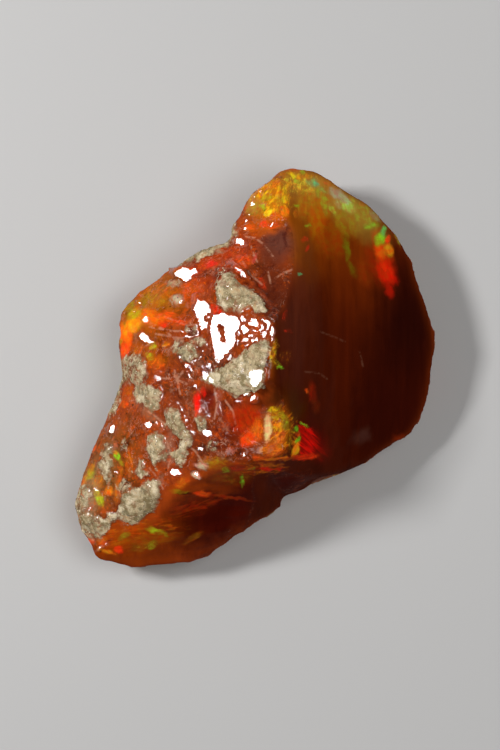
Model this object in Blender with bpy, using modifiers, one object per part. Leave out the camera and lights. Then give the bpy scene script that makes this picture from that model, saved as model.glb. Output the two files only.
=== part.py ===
"""Rough fire opal: one broken chunk of precious opal with crusts of its host rock left on the skin.

The stone lies on a broken flat of its back. +Z is up, the thin lobe points along +Y and the tail along -Y.
The origin is under the middle of its outline, in the plane that it rests on. All sizes are in metres.
Places are given in percent of the stone's width, length and height, so that they follow the driving sizes.
"""

import math

import bmesh
import bpy
import numpy as np
from mathutils import Matrix, Vector, noise
from mathutils.bvhtree import BVHTree

# Driving dimensions.
WIDTH = 0.0507  # left side to right point, along X
LENGTH = 0.0561  # top of the lobe to the underside of the tail, along Y
HEIGHT = 0.0270  # resting flat to the crest, along Z

# How finely the stone is shaped, and how far it is coarsened afterwards.
VOXEL = 0.00042
TRIANGLES = 9400
SCOOP_FACET = 0.0019
SMOOTHING = 3
CAST_LENGTH = 0.06
GROUND_DEPTH = 0.004

OPAL_COLOUR = (0.42, 0.11, 0.03, 1)
OPAL_ROUGHNESS = 0.12
OPAL_IOR = 1.45

# Corners of the three masses that the stone is made of, as (x, y, z) in percent. Each corner below RIM_TOP
# also has a fellow on the back of the stone, drawn in towards the middle of its mass, so that the rim is
# thick and not a blade.
RIM_TOP = 58
BACK_LEVEL = 12
DRAWN_IN = 0.86
BODY = {
    "notch lip": (-7.2, 30.6, 54),
    "notch foot": (-14.0, 26.6, 46),
    "upper left": (-25.4, 23.9, 38),
    "left brow": (-34.0, 17.6, 33),
    "left shoulder": (-39.4, 12.2, 32),
    "left waist": (-37.6, -3.9, 36),
    "right brow": (43.6, 25.4, 36),
    "right side": (47.6, 13.6, 34),
    "right point": (50.4, 6.6, 33),
    "right hip": (50.2, -6.8, 34),
    "right heel": (46.4, -20.6, 38),
    "under edge": (20.0, -24.8, 34),
    "under tail": (6.1, -35.0, 31),
    "crest upper left": (2.0, 22.3, 91),
    "crest upper right": (11.0, 20.7, 87),
    "crest middle": (5.5, 7.3, 100),
    "crest lower": (3.6, -8.2, 99),
    "fan head": (14.0, -16.0, 93),
    "sill right": (23.6, -20.8, 76),
    "sill middle": (-4.1, -22.9, 90),
    "sill left": (-19.3, -26.5, 74),
    "brow face": (-16.0, 17.5, 76),
    "cheek": (-27.5, 8.0, 60),
    "waist face": (-28.0, -9.0, 66),
    "base back": (18.0, 22.0, -8),
    "base left": (-22.0, 12.0, -8),
    "base left front": (-24.0, -10.0, -8),
    "base front": (-4.0, -26.0, -8),
    "base right front": (26.0, -14.0, -8),
    "base right": (32.0, 8.0, -8),
}
LOBE = {
    "lobe foot": (-7.2, 33.8, 54),
    "lobe left": (-3.2, 37.0, 54),
    "lobe upper left": (-2.0, 42.2, 54),
    "lobe chip": (1.0, 44.7, 54),
    "lobe top left": (7.2, 48.5, 53),
    "lobe top": (15.8, 49.3, 47),
    "lobe shoulder": (23.0, 44.9, 41),
    "lobe right": (32.2, 39.6, 38),
    "lobe lower right": (39.0, 33.0, 37),
    "right brow": (43.6, 25.4, 36),
    "lobe crest": (9.1, 46.6, 62),
    "crest top": (9.7, 34.8, 76),
    "crest upper left": (2.0, 22.3, 91),
    "crest upper right": (11.0, 20.7, 87),
    "lobe cheek": (-3.2, 33.0, 66),
    "root left": (-4.0, 10.0, 40),
    "root right": (40.0, 5.0, 34),
    "root back": (14.0, 20.0, -6),
}
TAIL = {
    "left waist": (-38.2, -4.5, 36),
    "tail left": (-42.2, -15.3, 37),
    "tail outer": (-47.6, -26.0, 34),
    "tail tip": (-51.0, -35.8, 30),
    "tail tip lower": (-49.6, -41.4, 30),
    "tail toe": (-45.0, -50.6, 26),
    "tail heel": (-34.4, -52.8, 20),
    "under heel": (-20.0, -51.4, 20),
    "under tail": (-3.6, -47.8, 22),
    "under edge": (8.2, -38.0, 31),
    "tail ridge": (-24.9, -31.0, 63),
    "tail face": (-40.0, -33.2, 48),
    "waist face": (-28.0, -9.0, 64),
    "sill left": (-19.3, -26.5, 74),
    "sill middle": (-4.1, -22.9, 88),
    "tail root back": (-19.0, -25.0, -6),
    "waist back": (-32.0, 2.0, 12),
    "front back": (4.0, -28.0, 10),
}

# Shell-shaped breaks. Each has a place on the stone in percent, the way its face looks, the radius of its
# hollow across the face and along it, how far its length leans from the Y axis and how deep it bites. Where
# the radius along it is below zero, the hollow is arched over the stone like a saddle.
SCOOPS = {
    "great face": ((26.0, 9.0, 64), (0.63, 0.03, 0.77), 0.052, -0.044, 9, 0.00275),
    "lobe cheek": ((3.0, 41.0, 62), (-0.55, 0.25, 0.80), 0.014, 0.016, 0, 0.00030),
    "brow facet": ((7.5, 27.5, 84), (-0.20, 0.38, 0.90), 0.014, 0.024, -15, 0.00260),
    "hearth": ((6.5, -19.5, 95), (-0.10, -0.16, 0.98), 0.021, 0.012, 0, 0.00250),
    "left brow": ((-26.0, 17.0, 58), (-0.48, 0.34, 0.80), 0.018, 0.014, 0, 0.00045),
    "waist slope": ((-26.0, -3.5, 66), (-0.58, 0.05, 0.80), 0.012, 0.026, 0, 0.00060),
    "sill": ((15.0, -26.5, 64), (0.36, -0.76, 0.54), 0.030, 0.030, 0, 0.00090),
    "under bay": ((22.0, -27.5, 36), (0.34, -0.94, 0.05), 0.018, 0.020, 0, 0.00060),
    "under ledge": ((-7.0, -30.0, 66), (0.14, -0.76, 0.63), 0.024, 0.016, 0, 0.00060),
    "under tail": ((-20.0, -40.0, 42), (0.20, -0.62, 0.77), 0.030, 0.024, 0, 0.00040),
    "back shell": ((34.0, 22.0, 22), (0.68, 0.56, -0.48), 0.022, 0.022, 0, 0.00110),
    "back right": ((42.0, -6.0, 16), (0.82, -0.20, -0.54), 0.020, 0.024, 0, 0.00050),
    "back left": ((-36.0, 6.0, 20), (-0.86, 0.16, -0.48), 0.016, 0.020, 0, 0.00080),
    "back front": ((8.0, -32.0, 16), (0.30, -0.80, -0.52), 0.022, 0.020, 0, 0.00060),
    "back tail": ((-44.0, -26.0, 18), (-0.84, 0.10, -0.54), 0.018, 0.022, 0, 0.00060),
}
SADDLE_STRETCH = 2.5

# Crusts of host rock that stand up from the skin: centre in percent, half length and half width in
# millimetres, turn in degrees and how far the crust stands up in millimetres.
CRUSTS = {
    "brow crust": ((-4.7, 18.8), 3.7, 1.7, -40, 0.50),
    "wedge crust": ((-2.5, -2.1), 4.4, 2.5, 33, 0.65),
    "cheek crust": ((-18.8, 5.6), 2.2, 1.4, -10, 0.35),
    "waist upper": ((-34.3, -1.6), 1.9, 1.1, -75, 0.40),
    "waist lower": ((-28.7, -7.4), 1.7, 1.2, -50, 0.45),
    "ribbon upper": ((-22.6, -12.7), 2.3, 1.0, -55, 0.45),
    "ribbon lower": ((-19.6, -21.5), 2.2, 1.0, 70, 0.45),
    "oval crust": ((-27.9, -20.3), 2.5, 1.1, -85, 0.45),
    "button": ((-14.9, -14.3), 1.0, 0.8, 0, 0.35),
    "tail knob": ((-32.3, -34.3), 3.0, 2.3, 20, 0.85),
    "tail cap": ((-44.2, -40.0), 2.6, 1.8, -20, 0.60),
    "tail strip": ((-41.4, -25.1), 2.9, 1.2, 70, 0.40),
    "tail rim": ((-47.0, -33.1), 2.4, 1.1, 85, 0.40),
    "brow strip": ((-13.2, 27.8), 2.2, 0.9, 34, 0.40),
}

# Hollows in the skin, in the same terms, with how deep they go.
HOLLOWS = {
    "wedge crevice": ((-6.2, -7.2), 2.6, 0.8, -8, 0.55),
    "brow hollow": ((-10.5, 10.5), 2.4, 1.2, -50, 0.45),
    "shoulder crease": ((-24.0, 5.4), 6.0, 0.9, 8, 0.40),
    "tail hollow": ((-24.5, -27.5), 1.8, 0.9, 60, 0.40),
    "ribbon gap": ((-25.8, -14.5), 2.6, 0.7, -70, 0.35),
    "strip gap": ((-37.4, -28.5), 2.6, 0.7, 75, 0.35),
}

# Relief of the broken surface, in millimetres.
SWELL = 0.45
SWELL_GRAIN = 8.0
SKIN_RELIEF = 0.22
SKIN_GRAIN = 3.0
FACE_RELIEF = 0.10
FACE_GRAIN = 7.0
RIB_HEIGHT = 0.16
RIB_GRAIN = 2.6
RIB_STRETCH = 0.14
EDGE_RAGGEDNESS = 0.22


def percent(x, y, z):
    """A place given in percent of the stone's width, length and height."""
    return Vector((x / 100 * WIDTH, y / 100 * LENGTH, z / 100 * HEIGHT))


def clear_scene():
    for obj in list(bpy.data.objects):
        bpy.data.objects.remove(obj)


def new_collection(name):
    made = bpy.data.collections.new(name)
    bpy.context.scene.collection.children.link(made)
    return made


def object_from(bm, name, collection):
    mesh = bpy.data.meshes.new(name)
    bm.to_mesh(mesh)
    bm.free()
    obj = bpy.data.objects.new(name, mesh)
    collection.objects.link(obj)
    return obj


def mass(name, corners, collection):
    """A closed broken lump: the convex hull of its corners and of their fellows on the back."""
    rim = [Vector(corner) for corner in corners.values() if 0 < corner[2] < RIM_TOP]
    middle = sum(rim, Vector()) / len(rim)
    back = [middle.lerp(corner, DRAWN_IN) for corner in rim]
    bm = bmesh.new()
    for corner in corners.values():
        bm.verts.new(percent(*corner))
    for corner in back:
        bm.verts.new(percent(corner.x, corner.y, BACK_LEVEL))
    made = bmesh.ops.convex_hull(bm, input=bm.verts)
    spare = {v for v in made["geom_interior"] + made["geom_unused"] if isinstance(v, bmesh.types.BMVert)}
    bmesh.ops.delete(bm, geom=list(spare), context="VERTS")
    bmesh.ops.recalc_face_normals(bm, faces=bm.faces)
    return object_from(bm, name, collection)


def scoop(name, shape, surface, collection):
    """A ball, stretched and bent along the face, that bites a shell-shaped break out of the surface."""
    place, facing, across, along, lean, bite = shape
    facing = Vector(facing).normalized()
    hit = surface.ray_cast(percent(*place) + facing * CAST_LENGTH / 2, -facing, CAST_LENGTH)[0]
    lean = math.radians(lean)
    side = Vector((-math.sin(lean), math.cos(lean), 0)).cross(facing).normalized()
    turn = Matrix((side, facing.cross(side), facing)).transposed().to_4x4()
    if along > 0:
        stretch = (along / across) ** 0.5
        bend = 0
    else:
        stretch = SADDLE_STRETCH
        bend = 1 / along - 1 / (stretch**2 * across)
    subdivisions = 1 + math.ceil(math.log2(across / SCOOP_FACET))
    bm = bmesh.new()
    bmesh.ops.create_icosphere(bm, subdivisions=subdivisions, radius=across)
    for vertex in bm.verts:
        vertex.co.y *= stretch
        vertex.co.z += bend * vertex.co.y**2 / 2
    bmesh.ops.transform(bm, matrix=Matrix.Translation(hit + facing * (across - bite)) @ turn, verts=bm.verts)
    return object_from(bm, name, collection)


def boolean(obj, other, operation):
    modifier = obj.modifiers.new(other.name, "BOOLEAN")
    modifier.operation = operation
    modifier.object = other
    modifier.solver = "EXACT"
    other.hide_render = True
    other.display_type = "WIRE"


def evaluated(obj):
    bpy.context.view_layer.update()
    return obj.evaluated_get(bpy.context.evaluated_depsgraph_get())


def smooth(value):
    """0 below 0, 1 above 1 and an even slope in between."""
    value = np.clip(value, 0, 1)
    return value * value * (3 - 2 * value)


def noise_at(points, grain, seed):
    """Fractal noise between about -1 and 1 at each point, with lumps of this size in millimetres."""
    shift = Vector((seed * 7.3, seed * 3.1, seed * 5.7))
    return np.array([noise.fractal(Vector(p) / grain + shift, 1.0, 2.0, 3) for p in points])


def bumps(points, patches, ragged):
    """How far each point is lifted by these patches, in millimetres."""
    lift = np.zeros(len(points))
    for (x, y), half_length, half_width, turn, height in patches.values():
        middle = percent(x, y, 0) * 1000
        cos = math.cos(math.radians(turn))
        sin = math.sin(math.radians(turn))
        dx = points[:, 0] - middle.x
        dy = points[:, 1] - middle.y
        reach = np.hypot((dx * cos + dy * sin) / half_length, (dy * cos - dx * sin) / half_width)
        lift = np.maximum(lift, height * smooth((1.15 + 0.40 * ragged - reach) / 0.35))
    return lift


def relief(points, normals):
    """How far each point of the broken stone is moved along its normal, in millimetres."""
    up = smooth((normals[:, 2] - 0.05) / 0.35)
    face = smooth((normals[:, 0] - 0.20) / 0.25) * up
    under = smooth((-normals[:, 1] - 0.30) / 0.25) * up
    skin = up * (1 - face) * (1 - under)
    ragged = noise_at(points, 1.6, 1)
    lift = bumps(points, CRUSTS, ragged) * skin
    lift -= bumps(points, HOLLOWS, ragged) * skin
    lift += SWELL * (1 - face) * noise_at(points, SWELL_GRAIN, 6)
    lift += SKIN_RELIEF * skin * noise_at(points, SKIN_GRAIN, 2)
    lift += FACE_RELIEF * (1 - skin) * noise_at(points, FACE_GRAIN, 3)
    lift += RIB_HEIGHT * face * noise_at(points * (1.0, RIB_STRETCH, 0.5), RIB_GRAIN, 4)
    rim = smooth(1 - np.abs(normals[:, 2]) / 0.45)
    lift += EDGE_RAGGEDNESS * rim * noise_at(points, 2.2, 5)
    return lift


def shape_surface(mesh):
    """Raise the crusts, sink the hollows and roughen the faces of a finely meshed stone."""
    count = len(mesh.vertices)
    points = np.empty(count * 3)
    normals = np.empty(count * 3)
    mesh.vertices.foreach_get("co", points)
    mesh.vertex_normals.foreach_get("vector", normals)
    points = points.reshape(-1, 3)
    normals = normals.reshape(-1, 3)
    points += normals * relief(points * 1000, normals)[:, None] / 1000
    low = points.min(axis=0)
    high = points.max(axis=0)
    points[:, :2] -= (low + high)[:2] / 2
    points *= (WIDTH / (high[0] - low[0]), LENGTH / (high[1] - low[1]), HEIGHT / high[2])
    mesh.vertices.foreach_set("co", points.ravel())
    mesh.update()


def opal_material():
    """Wet, glassy, orange-brown fire opal."""
    made = bpy.data.materials.new("fire_opal")
    made.use_nodes = True
    shader = made.node_tree.nodes["Principled BSDF"]
    shader.inputs["Base Color"].default_value = OPAL_COLOUR
    shader.inputs["Roughness"].default_value = OPAL_ROUGHNESS
    shader.inputs["Metallic"].default_value = 0
    shader.inputs["IOR"].default_value = OPAL_IOR
    return made


def main():
    clear_scene()
    stone_collection = new_collection("rough_opal")
    cutters = new_collection("cutters")
    body = mass("body_mass", BODY, cutters)
    boolean(body, mass("lobe_mass", LOBE, cutters), "UNION")
    boolean(body, mass("tail_mass", TAIL, cutters), "UNION")
    whole = evaluated(body).to_mesh()
    whole.calc_loop_triangles()
    triangles = [tuple(t.vertices) for t in whole.loop_triangles]
    surface = BVHTree.FromPolygons([v.co.copy() for v in whole.vertices], triangles)
    for name, shape in SCOOPS.items():
        boolean(body, scoop(name.replace(" ", "_"), shape, surface, cutters), "DIFFERENCE")
    fuse = body.modifiers.new("fuse", "REMESH")
    fuse.mode = "VOXEL"
    fuse.voxel_size = VOXEL
    smoothen = body.modifiers.new("smoothen", "SMOOTH")
    smoothen.factor = 0.5
    smoothen.iterations = SMOOTHING
    mesh = bpy.data.meshes.new_from_object(evaluated(body))
    body.hide_render = True
    shape_surface(mesh)
    stone = bpy.data.objects.new("opal", mesh)
    stone_collection.objects.link(stone)
    mesh.materials.clear()
    mesh.materials.append(opal_material())

    bm = bmesh.new()
    bmesh.ops.create_cube(bm, size=1)
    bmesh.ops.scale(bm, vec=(2 * WIDTH, 2 * LENGTH, GROUND_DEPTH), verts=bm.verts)
    bmesh.ops.translate(bm, vec=(0, 0, -GROUND_DEPTH / 2), verts=bm.verts)
    ground = object_from(bm, "ground_cutter", cutters)
    coarsen = stone.modifiers.new("coarsen", "DECIMATE")
    coarsen.ratio = TRIANGLES / sum(len(p.vertices) - 2 for p in mesh.polygons)
    boolean(stone, ground, "DIFFERENCE")


main()
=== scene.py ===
"""Looks of a rough fire opal: a wet, glassy lump with play of colour and crusts of host rock.

The stone is one fine mesh, grown from the frame's solid. Its colour zones, flashes, crusts and
scratches are short lists of named places, which are turned into values on its points, and the
material adds the fine grain. Places are in millimetres in the plan: as each spot of the upper side
is seen from straight above. Turns are in degrees, counted from the plan's right.
"""

import math

import bmesh
import bpy
import numpy as np
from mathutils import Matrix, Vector, noise


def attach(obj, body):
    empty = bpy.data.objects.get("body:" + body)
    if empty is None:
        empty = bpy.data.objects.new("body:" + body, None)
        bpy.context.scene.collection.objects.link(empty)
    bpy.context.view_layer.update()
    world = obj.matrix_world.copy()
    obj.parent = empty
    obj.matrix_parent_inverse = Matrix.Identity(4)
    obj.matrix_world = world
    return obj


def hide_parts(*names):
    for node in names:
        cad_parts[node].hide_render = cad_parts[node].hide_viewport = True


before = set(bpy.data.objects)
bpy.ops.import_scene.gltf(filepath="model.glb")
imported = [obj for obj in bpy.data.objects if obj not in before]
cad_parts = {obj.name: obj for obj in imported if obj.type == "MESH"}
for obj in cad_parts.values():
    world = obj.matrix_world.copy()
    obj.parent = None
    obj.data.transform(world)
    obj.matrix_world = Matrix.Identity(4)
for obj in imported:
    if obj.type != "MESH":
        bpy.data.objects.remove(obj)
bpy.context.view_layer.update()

MM = 0.001

# The point that the plan is drawn from, and the level where it is at full size, in millimetres.
EYE = (-0.7, -0.75, 410.0)
PLAN_LEVEL = 10.0

# The lamp that the wet planes mirror, in millimetres.
LAMP = (-260.0, 90.0, 300.0)

# The studio, in metres: the height of the view, where the lamps point and how far the floor goes.
VIEW_HEIGHT = 0.105
STONE_HEART = Vector((0, 0, 0.01))
FLOOR_REACH = 1.5
PAPER_COLOUR = (0.50, 0.495, 0.49)
AIR_COLOUR = (1.0, 0.98, 0.96)
AIR_STRENGTH = 0.11

# The fine mesh: the width of its cells in millimetres, and how many triangles are left in it.
VOXEL = 0.235
TRIANGLES = 190000

# How the frame's flat triangles are rounded: the steps, how far each goes, the bends where a ridge
# begins and is full, and how much of a full ridge is kept.
SMOOTHING_STEPS = 10
ROUNDING = 0.6
RIDGE_BEND = (0.008, 0.035)
RIDGE_KEPT = 0.9

# The parts of the stone face up, right in the plan or down in the plan: where each begins, and
# over what span it takes over.
FACING_UP = (0.02, 0.25)
FACING_RIGHT = (0.22, 0.14)
FACING_DOWN = (0.34, 0.18)

# How far the edges of crusts and wet planes wander and in what lumps, in millimetres.
EDGE_WANDER = 0.30
EDGE_GRAIN = 0.9

# The patches of crust on the sides and the back: how deep their noise goes, and where they end.
CRUST_PATCHES = 0.8
PATCH_THRESHOLD = 0.22

# The wet planes: the width of their soft edge, how far a small one may move the skin, and the
# least lean that is reckoned with. FAR is further than any of them reaches.
SHEET_EDGE = 0.35
GLINT_STEP = 0.45
LEAST_LEAN = 0.4
FAR = 9.0

# The relief on the smooth stone, in millimetres. It fades out over the height of its foot.
CRUST_THICKNESS = 0.15
CRUST_CRUMBS = 0.03
CRUST_LUMPS = 0.07
CRUST_PITS = 0.09
SKIN_WAVES = 0.08
SKIN_CREASES = 0.07
SKIN_GRAIN = 0.045
FACE_FIBRES = 0.025
UNDER_FIBRES = 0.04
FLANK_WAVES = 0.12
FLANK_CREASES = 0.10
RIDGE_CHIPS = 0.07
FOOT_HEIGHT = 0.8

# How much clear wet film each part has.
LEAST_SHINE = 0.05
SKIN_SHINE = 0.45
FLANK_SHINE = 0.40
PLANE_SHINE = 0.90

# The opal's finishes: bumps in metres, and what its depth does to light.
OPAL_IOR = 1.45
FILM_ROUGHNESS = 0.03
SKIN_BUMP = 0.06 * MM
CRUST_BUMP = 0.07 * MM
DEPTH_COLOUR = (0.95, 0.42, 0.08)
DEPTH_DENSITY = 200.0

FLANK_COLOUR = (0.36, 0.055, 0.005)
SKIN_COLOUR = (0.33, 0.046, 0.006)
FACE_COLOUR = (0.075, 0.008, 0.001)
VEIN_COLOUR = (0.62, 0.33, 0.22)
PIT_COLOUR = (0.030, 0.012, 0.005)
SCRATCH_COLOUR = (0.72, 0.36, 0.22)
# The filter of the painted shade that darkens the body along the edges of the crusts.
CRUST_EDGE_SHADE = (0.38, 0.27, 0.30)

# How the tints of the play of colour vary from dab to dab.
WARM_SHIFT = (1.06, 0.70, 0.80)
COOL_SHIFT = (0.94, 1.32, 1.20)

# Play of colour on the sides and the back.
FLANK_FLASHES = ((1.0, 0.14, 0.012), (1.0, 0.60, 0.02), (0.35, 0.90, 0.05))
FLANK_FLASH_COVER = 0.62

ROCK_DARK = (0.25, 0.19, 0.095)
ROCK_PALE = (0.54, 0.43, 0.26)
ROCK_SAND = (0.55, 0.51, 0.45)
ROCK_SPECK = (0.060, 0.054, 0.050)

GRAIN_DARK = (0.060, 0.052, 0.048)
GRAIN_BROWN = (0.34, 0.27, 0.15)
GRAIN_SAND = (0.52, 0.42, 0.26)
GRAIN_PALE = (0.74, 0.64, 0.46)
GRAIN_SEED = 11

# The largest turn of a grain about each axis, in radians.
FULL_TURN = 6.28

# The colours in the clear body, laid over each other in this order: the part that each is in, its
# noise, the levels where it starts and is full, its strength, its colour, and whether it is laid
# on or filters what is under it. A noise is its lumps to the millimetre, its detail, its roughness
# and its twist.
BODY_LAYERS = {
    "dark mottle": (
        "rough parts", (0.55, 5.0, 0.62, 0.8), (0.46, 0.72), 0.80, (0.42, 0.26, 0.34), "MULTIPLY"
    ),
    "olive mottle": (
        "skin", (0.42, 5.0, 0.66, 0.5), (0.50, 0.66), 0.75, (0.46, 0.62, 0.60), "MULTIPLY"
    ),
    "pale fibres": ("face", (0.6, 4.0, 0.6), (0.45, 0.70), 0.5, (1.45, 1.50, 1.1), "MULTIPLY"),
    "dark fibres": (
        "face", (0.55, 3.0, 0.6, 0.4), (0.50, 0.34), 0.35, (0.50, 0.42, 0.42), "MULTIPLY"
    ),
    "grime": ("skin", (1.5, 3.0, 0.65), (0.54, 0.72), 0.75, (0.45, 0.34, 0.42), "MULTIPLY"),
    "sparks": ("skin", (0.95, 4.0, 0.66), (0.52, 0.68), 0.50, (0.72, 0.085, 0.004), "MIX"),
    "specks": ("skin", (3.0, 1.0, 0.5), (0.60, 0.70), 0.35, (0.85, 0.13, 0.006), "MIX"),
    "haze": ("skin", (0.6, 4.0, 0.70), (0.53, 0.72), 0.42, (0.50, 0.22, 0.13), "MIX"),
}

# How the fibres of the smooth face are drawn out.
FIBRE_SCALE = (1.0, 0.10, 0.35)

# The colours in the crusts, laid on in this order: noise, levels, strength and colour.
ROCK_LAYERS = {
    "cream": ((0.55, 4.0, 0.68, 0.2), (0.50, 0.62), 0.80, (0.74, 0.62, 0.42)),
    "grey": ((0.75, 4.0, 0.66), (0.53, 0.64), 0.65, (0.22, 0.195, 0.115)),
    "rust": ((0.9, 4.0, 0.65, 0.5), (0.56, 0.72), 0.50, (0.50, 0.22, 0.06)),
}

# Crusts of host rock: how much of the stone under it each hides, and its corners in the plan.
CRUSTS = {
    "brow crust": (0.95, (
        (-5.3, 12), (-4.6, 13.3), (-3.5, 13.7), (-2.7, 12.6), (-1.8, 11.9), (-0.6, 11.2),
        (0.6, 10.5), (1.3, 9.4), (1.5, 8.4), (1.1, 7.8), (0.1, 8.2), (-0.6, 8.9), (-1.3, 8.6),
        (-2, 8.2), (-3.1, 8.5), (-4.1, 8.4), (-4.9, 8.9), (-5.3, 9.8), (-5.5, 10.9),
    )),
    "brow crust top": (0.45, (
        (-5.6, 13.1), (-5, 14.1), (-3.8, 14.5), (-3.2, 13.7), (-4.3, 13.1), (-5.2, 12),
    )),
    "wedge": (1.0, (
        (2, 4.2), (2, 2.6), (1.5, 1.2), (1.3, -0.3), (1.1, -2.3), (0, -2.9), (-1, -3.3),
        (-1.8, -3.4), (-2.7, -4), (-3.2, -3.4), (-4.6, -2.7), (-6.3, -2), (-7.4, -1.3),
        (-6.3, -0.6), (-4.9, 0.3), (-3.5, 1), (-2.1, 1.9), (-1.1, 2.9), (0.6, 4),
    )),
    "cheek crust": (0.75, (
        (-11.6, 3.2), (-11.1, 3.9), (-10.1, 4.2), (-9.1, 3.9), (-8.3, 3.2), (-7.8, 2.2),
        (-8.5, 1.5), (-9.5, 1.2), (-10.5, 1.8), (-11.3, 2.3),
    )),
    "cheek ochre": (0.7, (
        (-9, 4), (-8, 4.6), (-6.9, 4.3), (-6.9, 3.6), (-7.8, 3.4),
    )),
    "cheek shadow": (0.5, (
        (-9.9, 6), (-9.1, 6.5), (-8.1, 6.1), (-8.3, 5), (-9.5, 5.1),
    )),
    "waist upper": (0.78, (
        (-19, -0.6), (-18.9, 1.1), (-18.1, 1.9), (-16.9, 2.1), (-16, 1.9), (-15.4, 0.9),
        (-15.4, -0.6), (-15.7, -1.7), (-16.7, -2), (-17.8, -1.5), (-18.8, -2.3),
    )),
    "waist lower": (0.95, (
        (-16.7, -2), (-15.7, -1.9), (-14.8, -2.3), (-13.7, -2.6), (-13.2, -3.6), (-13.3, -4.8),
        (-13.7, -5.9), (-14.7, -5.7), (-15.5, -5), (-16.4, -4.5), (-16.9, -3.3),
    )),
    "left edge strip": (0.85, (
        (-18.6, -1.7), (-18.9, -3.6), (-19.2, -5), (-20, -6.2), (-20.9, -7.1), (-21.1, -5.9),
        (-20.3, -4.3), (-19.9, -2),
    )),
    "ribbon": (0.92, (
        (-12.6, -6.2), (-12, -5.3), (-11.2, -5.3), (-10.6, -6), (-10.4, -7.2), (-9.7, -8.3),
        (-8.8, -9.2), (-9, -10.6), (-9.7, -12), (-9.9, -13.6), (-10.8, -13.5), (-11.3, -12.5),
        (-11.8, -11.7), (-10.9, -11.2), (-10.4, -10.6), (-10.5, -9.7), (-11.6, -8.4), (-12.5, -7.6),
    )),
    "oval crust": (0.92, (
        (-14.8, -9.2), (-14, -8.5), (-13, -9.2), (-12.6, -10.6), (-13, -11.6), (-12, -12.3),
        (-13.2, -12.5), (-13.9, -13.7), (-14.6, -12.7), (-15.1, -11.2),
    )),
    "button": (0.8, (
        (-8.3, -6.8), (-6.9, -6.6), (-6.9, -7.9), (-7.6, -8.6), (-8.1, -8.2),
    )),
    "small pale crust": (0.65, (
        (-7.1, -10.8), (-6.3, -10), (-5.3, -10.4), (-5.5, -11.1), (-6.7, -11.2),
    )),
    "ledge crust": (0.45, (
        (-8.4, -13.1), (-7.7, -12.8), (-6.7, -13.4), (-7, -14.1), (-8.1, -13.8),
    )),
    "tail knob": (1.0, (
        (-19, -19.4), (-18.9, -18.1), (-17.9, -17), (-16.8, -16.5), (-16, -16.9), (-15.8, -16.2),
        (-14.7, -15.3), (-13.7, -15.6), (-13.3, -17), (-13.6, -18.6), (-14.4, -19.8),
        (-15.4, -20.4), (-16.1, -21.2), (-17.2, -21.6), (-18.3, -21.2), (-19.1, -20.4),
    )),
    "tail knob spur": (0.6, (
        (-19.2, -15.7), (-18.2, -15.5), (-17.5, -16.4), (-18.5, -17.3), (-19.3, -16.7),
    )),
    "tail crumbs": (0.75, (
        (-17.1, -14.2), (-16.2, -13.7), (-16.1, -12.7), (-15.5, -13), (-15.4, -14.1),
        (-14.8, -14.8), (-16, -15.2),
    )),
    "tail strip": (0.8, (
        (-20.9, -10.2), (-20.2, -10.7), (-20.4, -12), (-19.9, -13), (-20.2, -14.4), (-20.4, -16.3),
        (-21, -15.3), (-21.4, -14.2), (-22.1, -13.4), (-21.7, -12.4), (-21.1, -11.2),
    )),
    "tail fleck crust": (0.6, (
        (-18.8, -10), (-18.1, -9.7), (-17.5, -10.6), (-17.6, -11.4), (-18.5, -11.1),
    )),
    "tail rim": (0.75, (
        (-25.9, -19.1), (-25.3, -16.9), (-24.2, -16), (-23.1, -16.4), (-23, -17.8), (-23.4, -19.1),
        (-23.8, -20.2), (-24.8, -20.8), (-25.8, -20.2),
    )),
    "tail cap": (0.82, (
        (-25.1, -20.6), (-23.9, -20.2), (-22.8, -20.5), (-21.4, -20.9), (-20.4, -20.1),
        (-19.6, -20.2), (-19.3, -21.1), (-20.3, -21.6), (-20.6, -22.7), (-21.7, -23.6),
        (-23.1, -23.7), (-24.1, -22.7), (-24.8, -21.8),
    )),
    "notch strip": (0.95, (
        (-12.2, 14.5), (-11.6, 15.6), (-9.7, 16.8), (-8.3, 17.2), (-6.9, 17.7), (-5.7, 18.3),
        (-4.9, 19.1), (-4.5, 20.1), (-3.5, 21.2), (-2.7, 20.3), (-2.8, 19), (-3.1, 18),
        (-3.9, 17.2), (-5.2, 16.5), (-6.3, 16), (-7.7, 15.5), (-9.1, 15.1), (-10.5, 14.7),
    )),
    "pale spot": (0.42, (
        (-11.8, 10.2), (-11.2, 10.6), (-10.4, 10.5), (-10.2, 9.8), (-10.9, 9.2), (-11.6, 9.5),
    )),
    "pale patch": (0.45, (
        (-12.3, 12.3), (-11.5, 12.8), (-10.4, 12.6), (-10.5, 11.7), (-11.9, 11.6),
    )),
}

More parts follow.
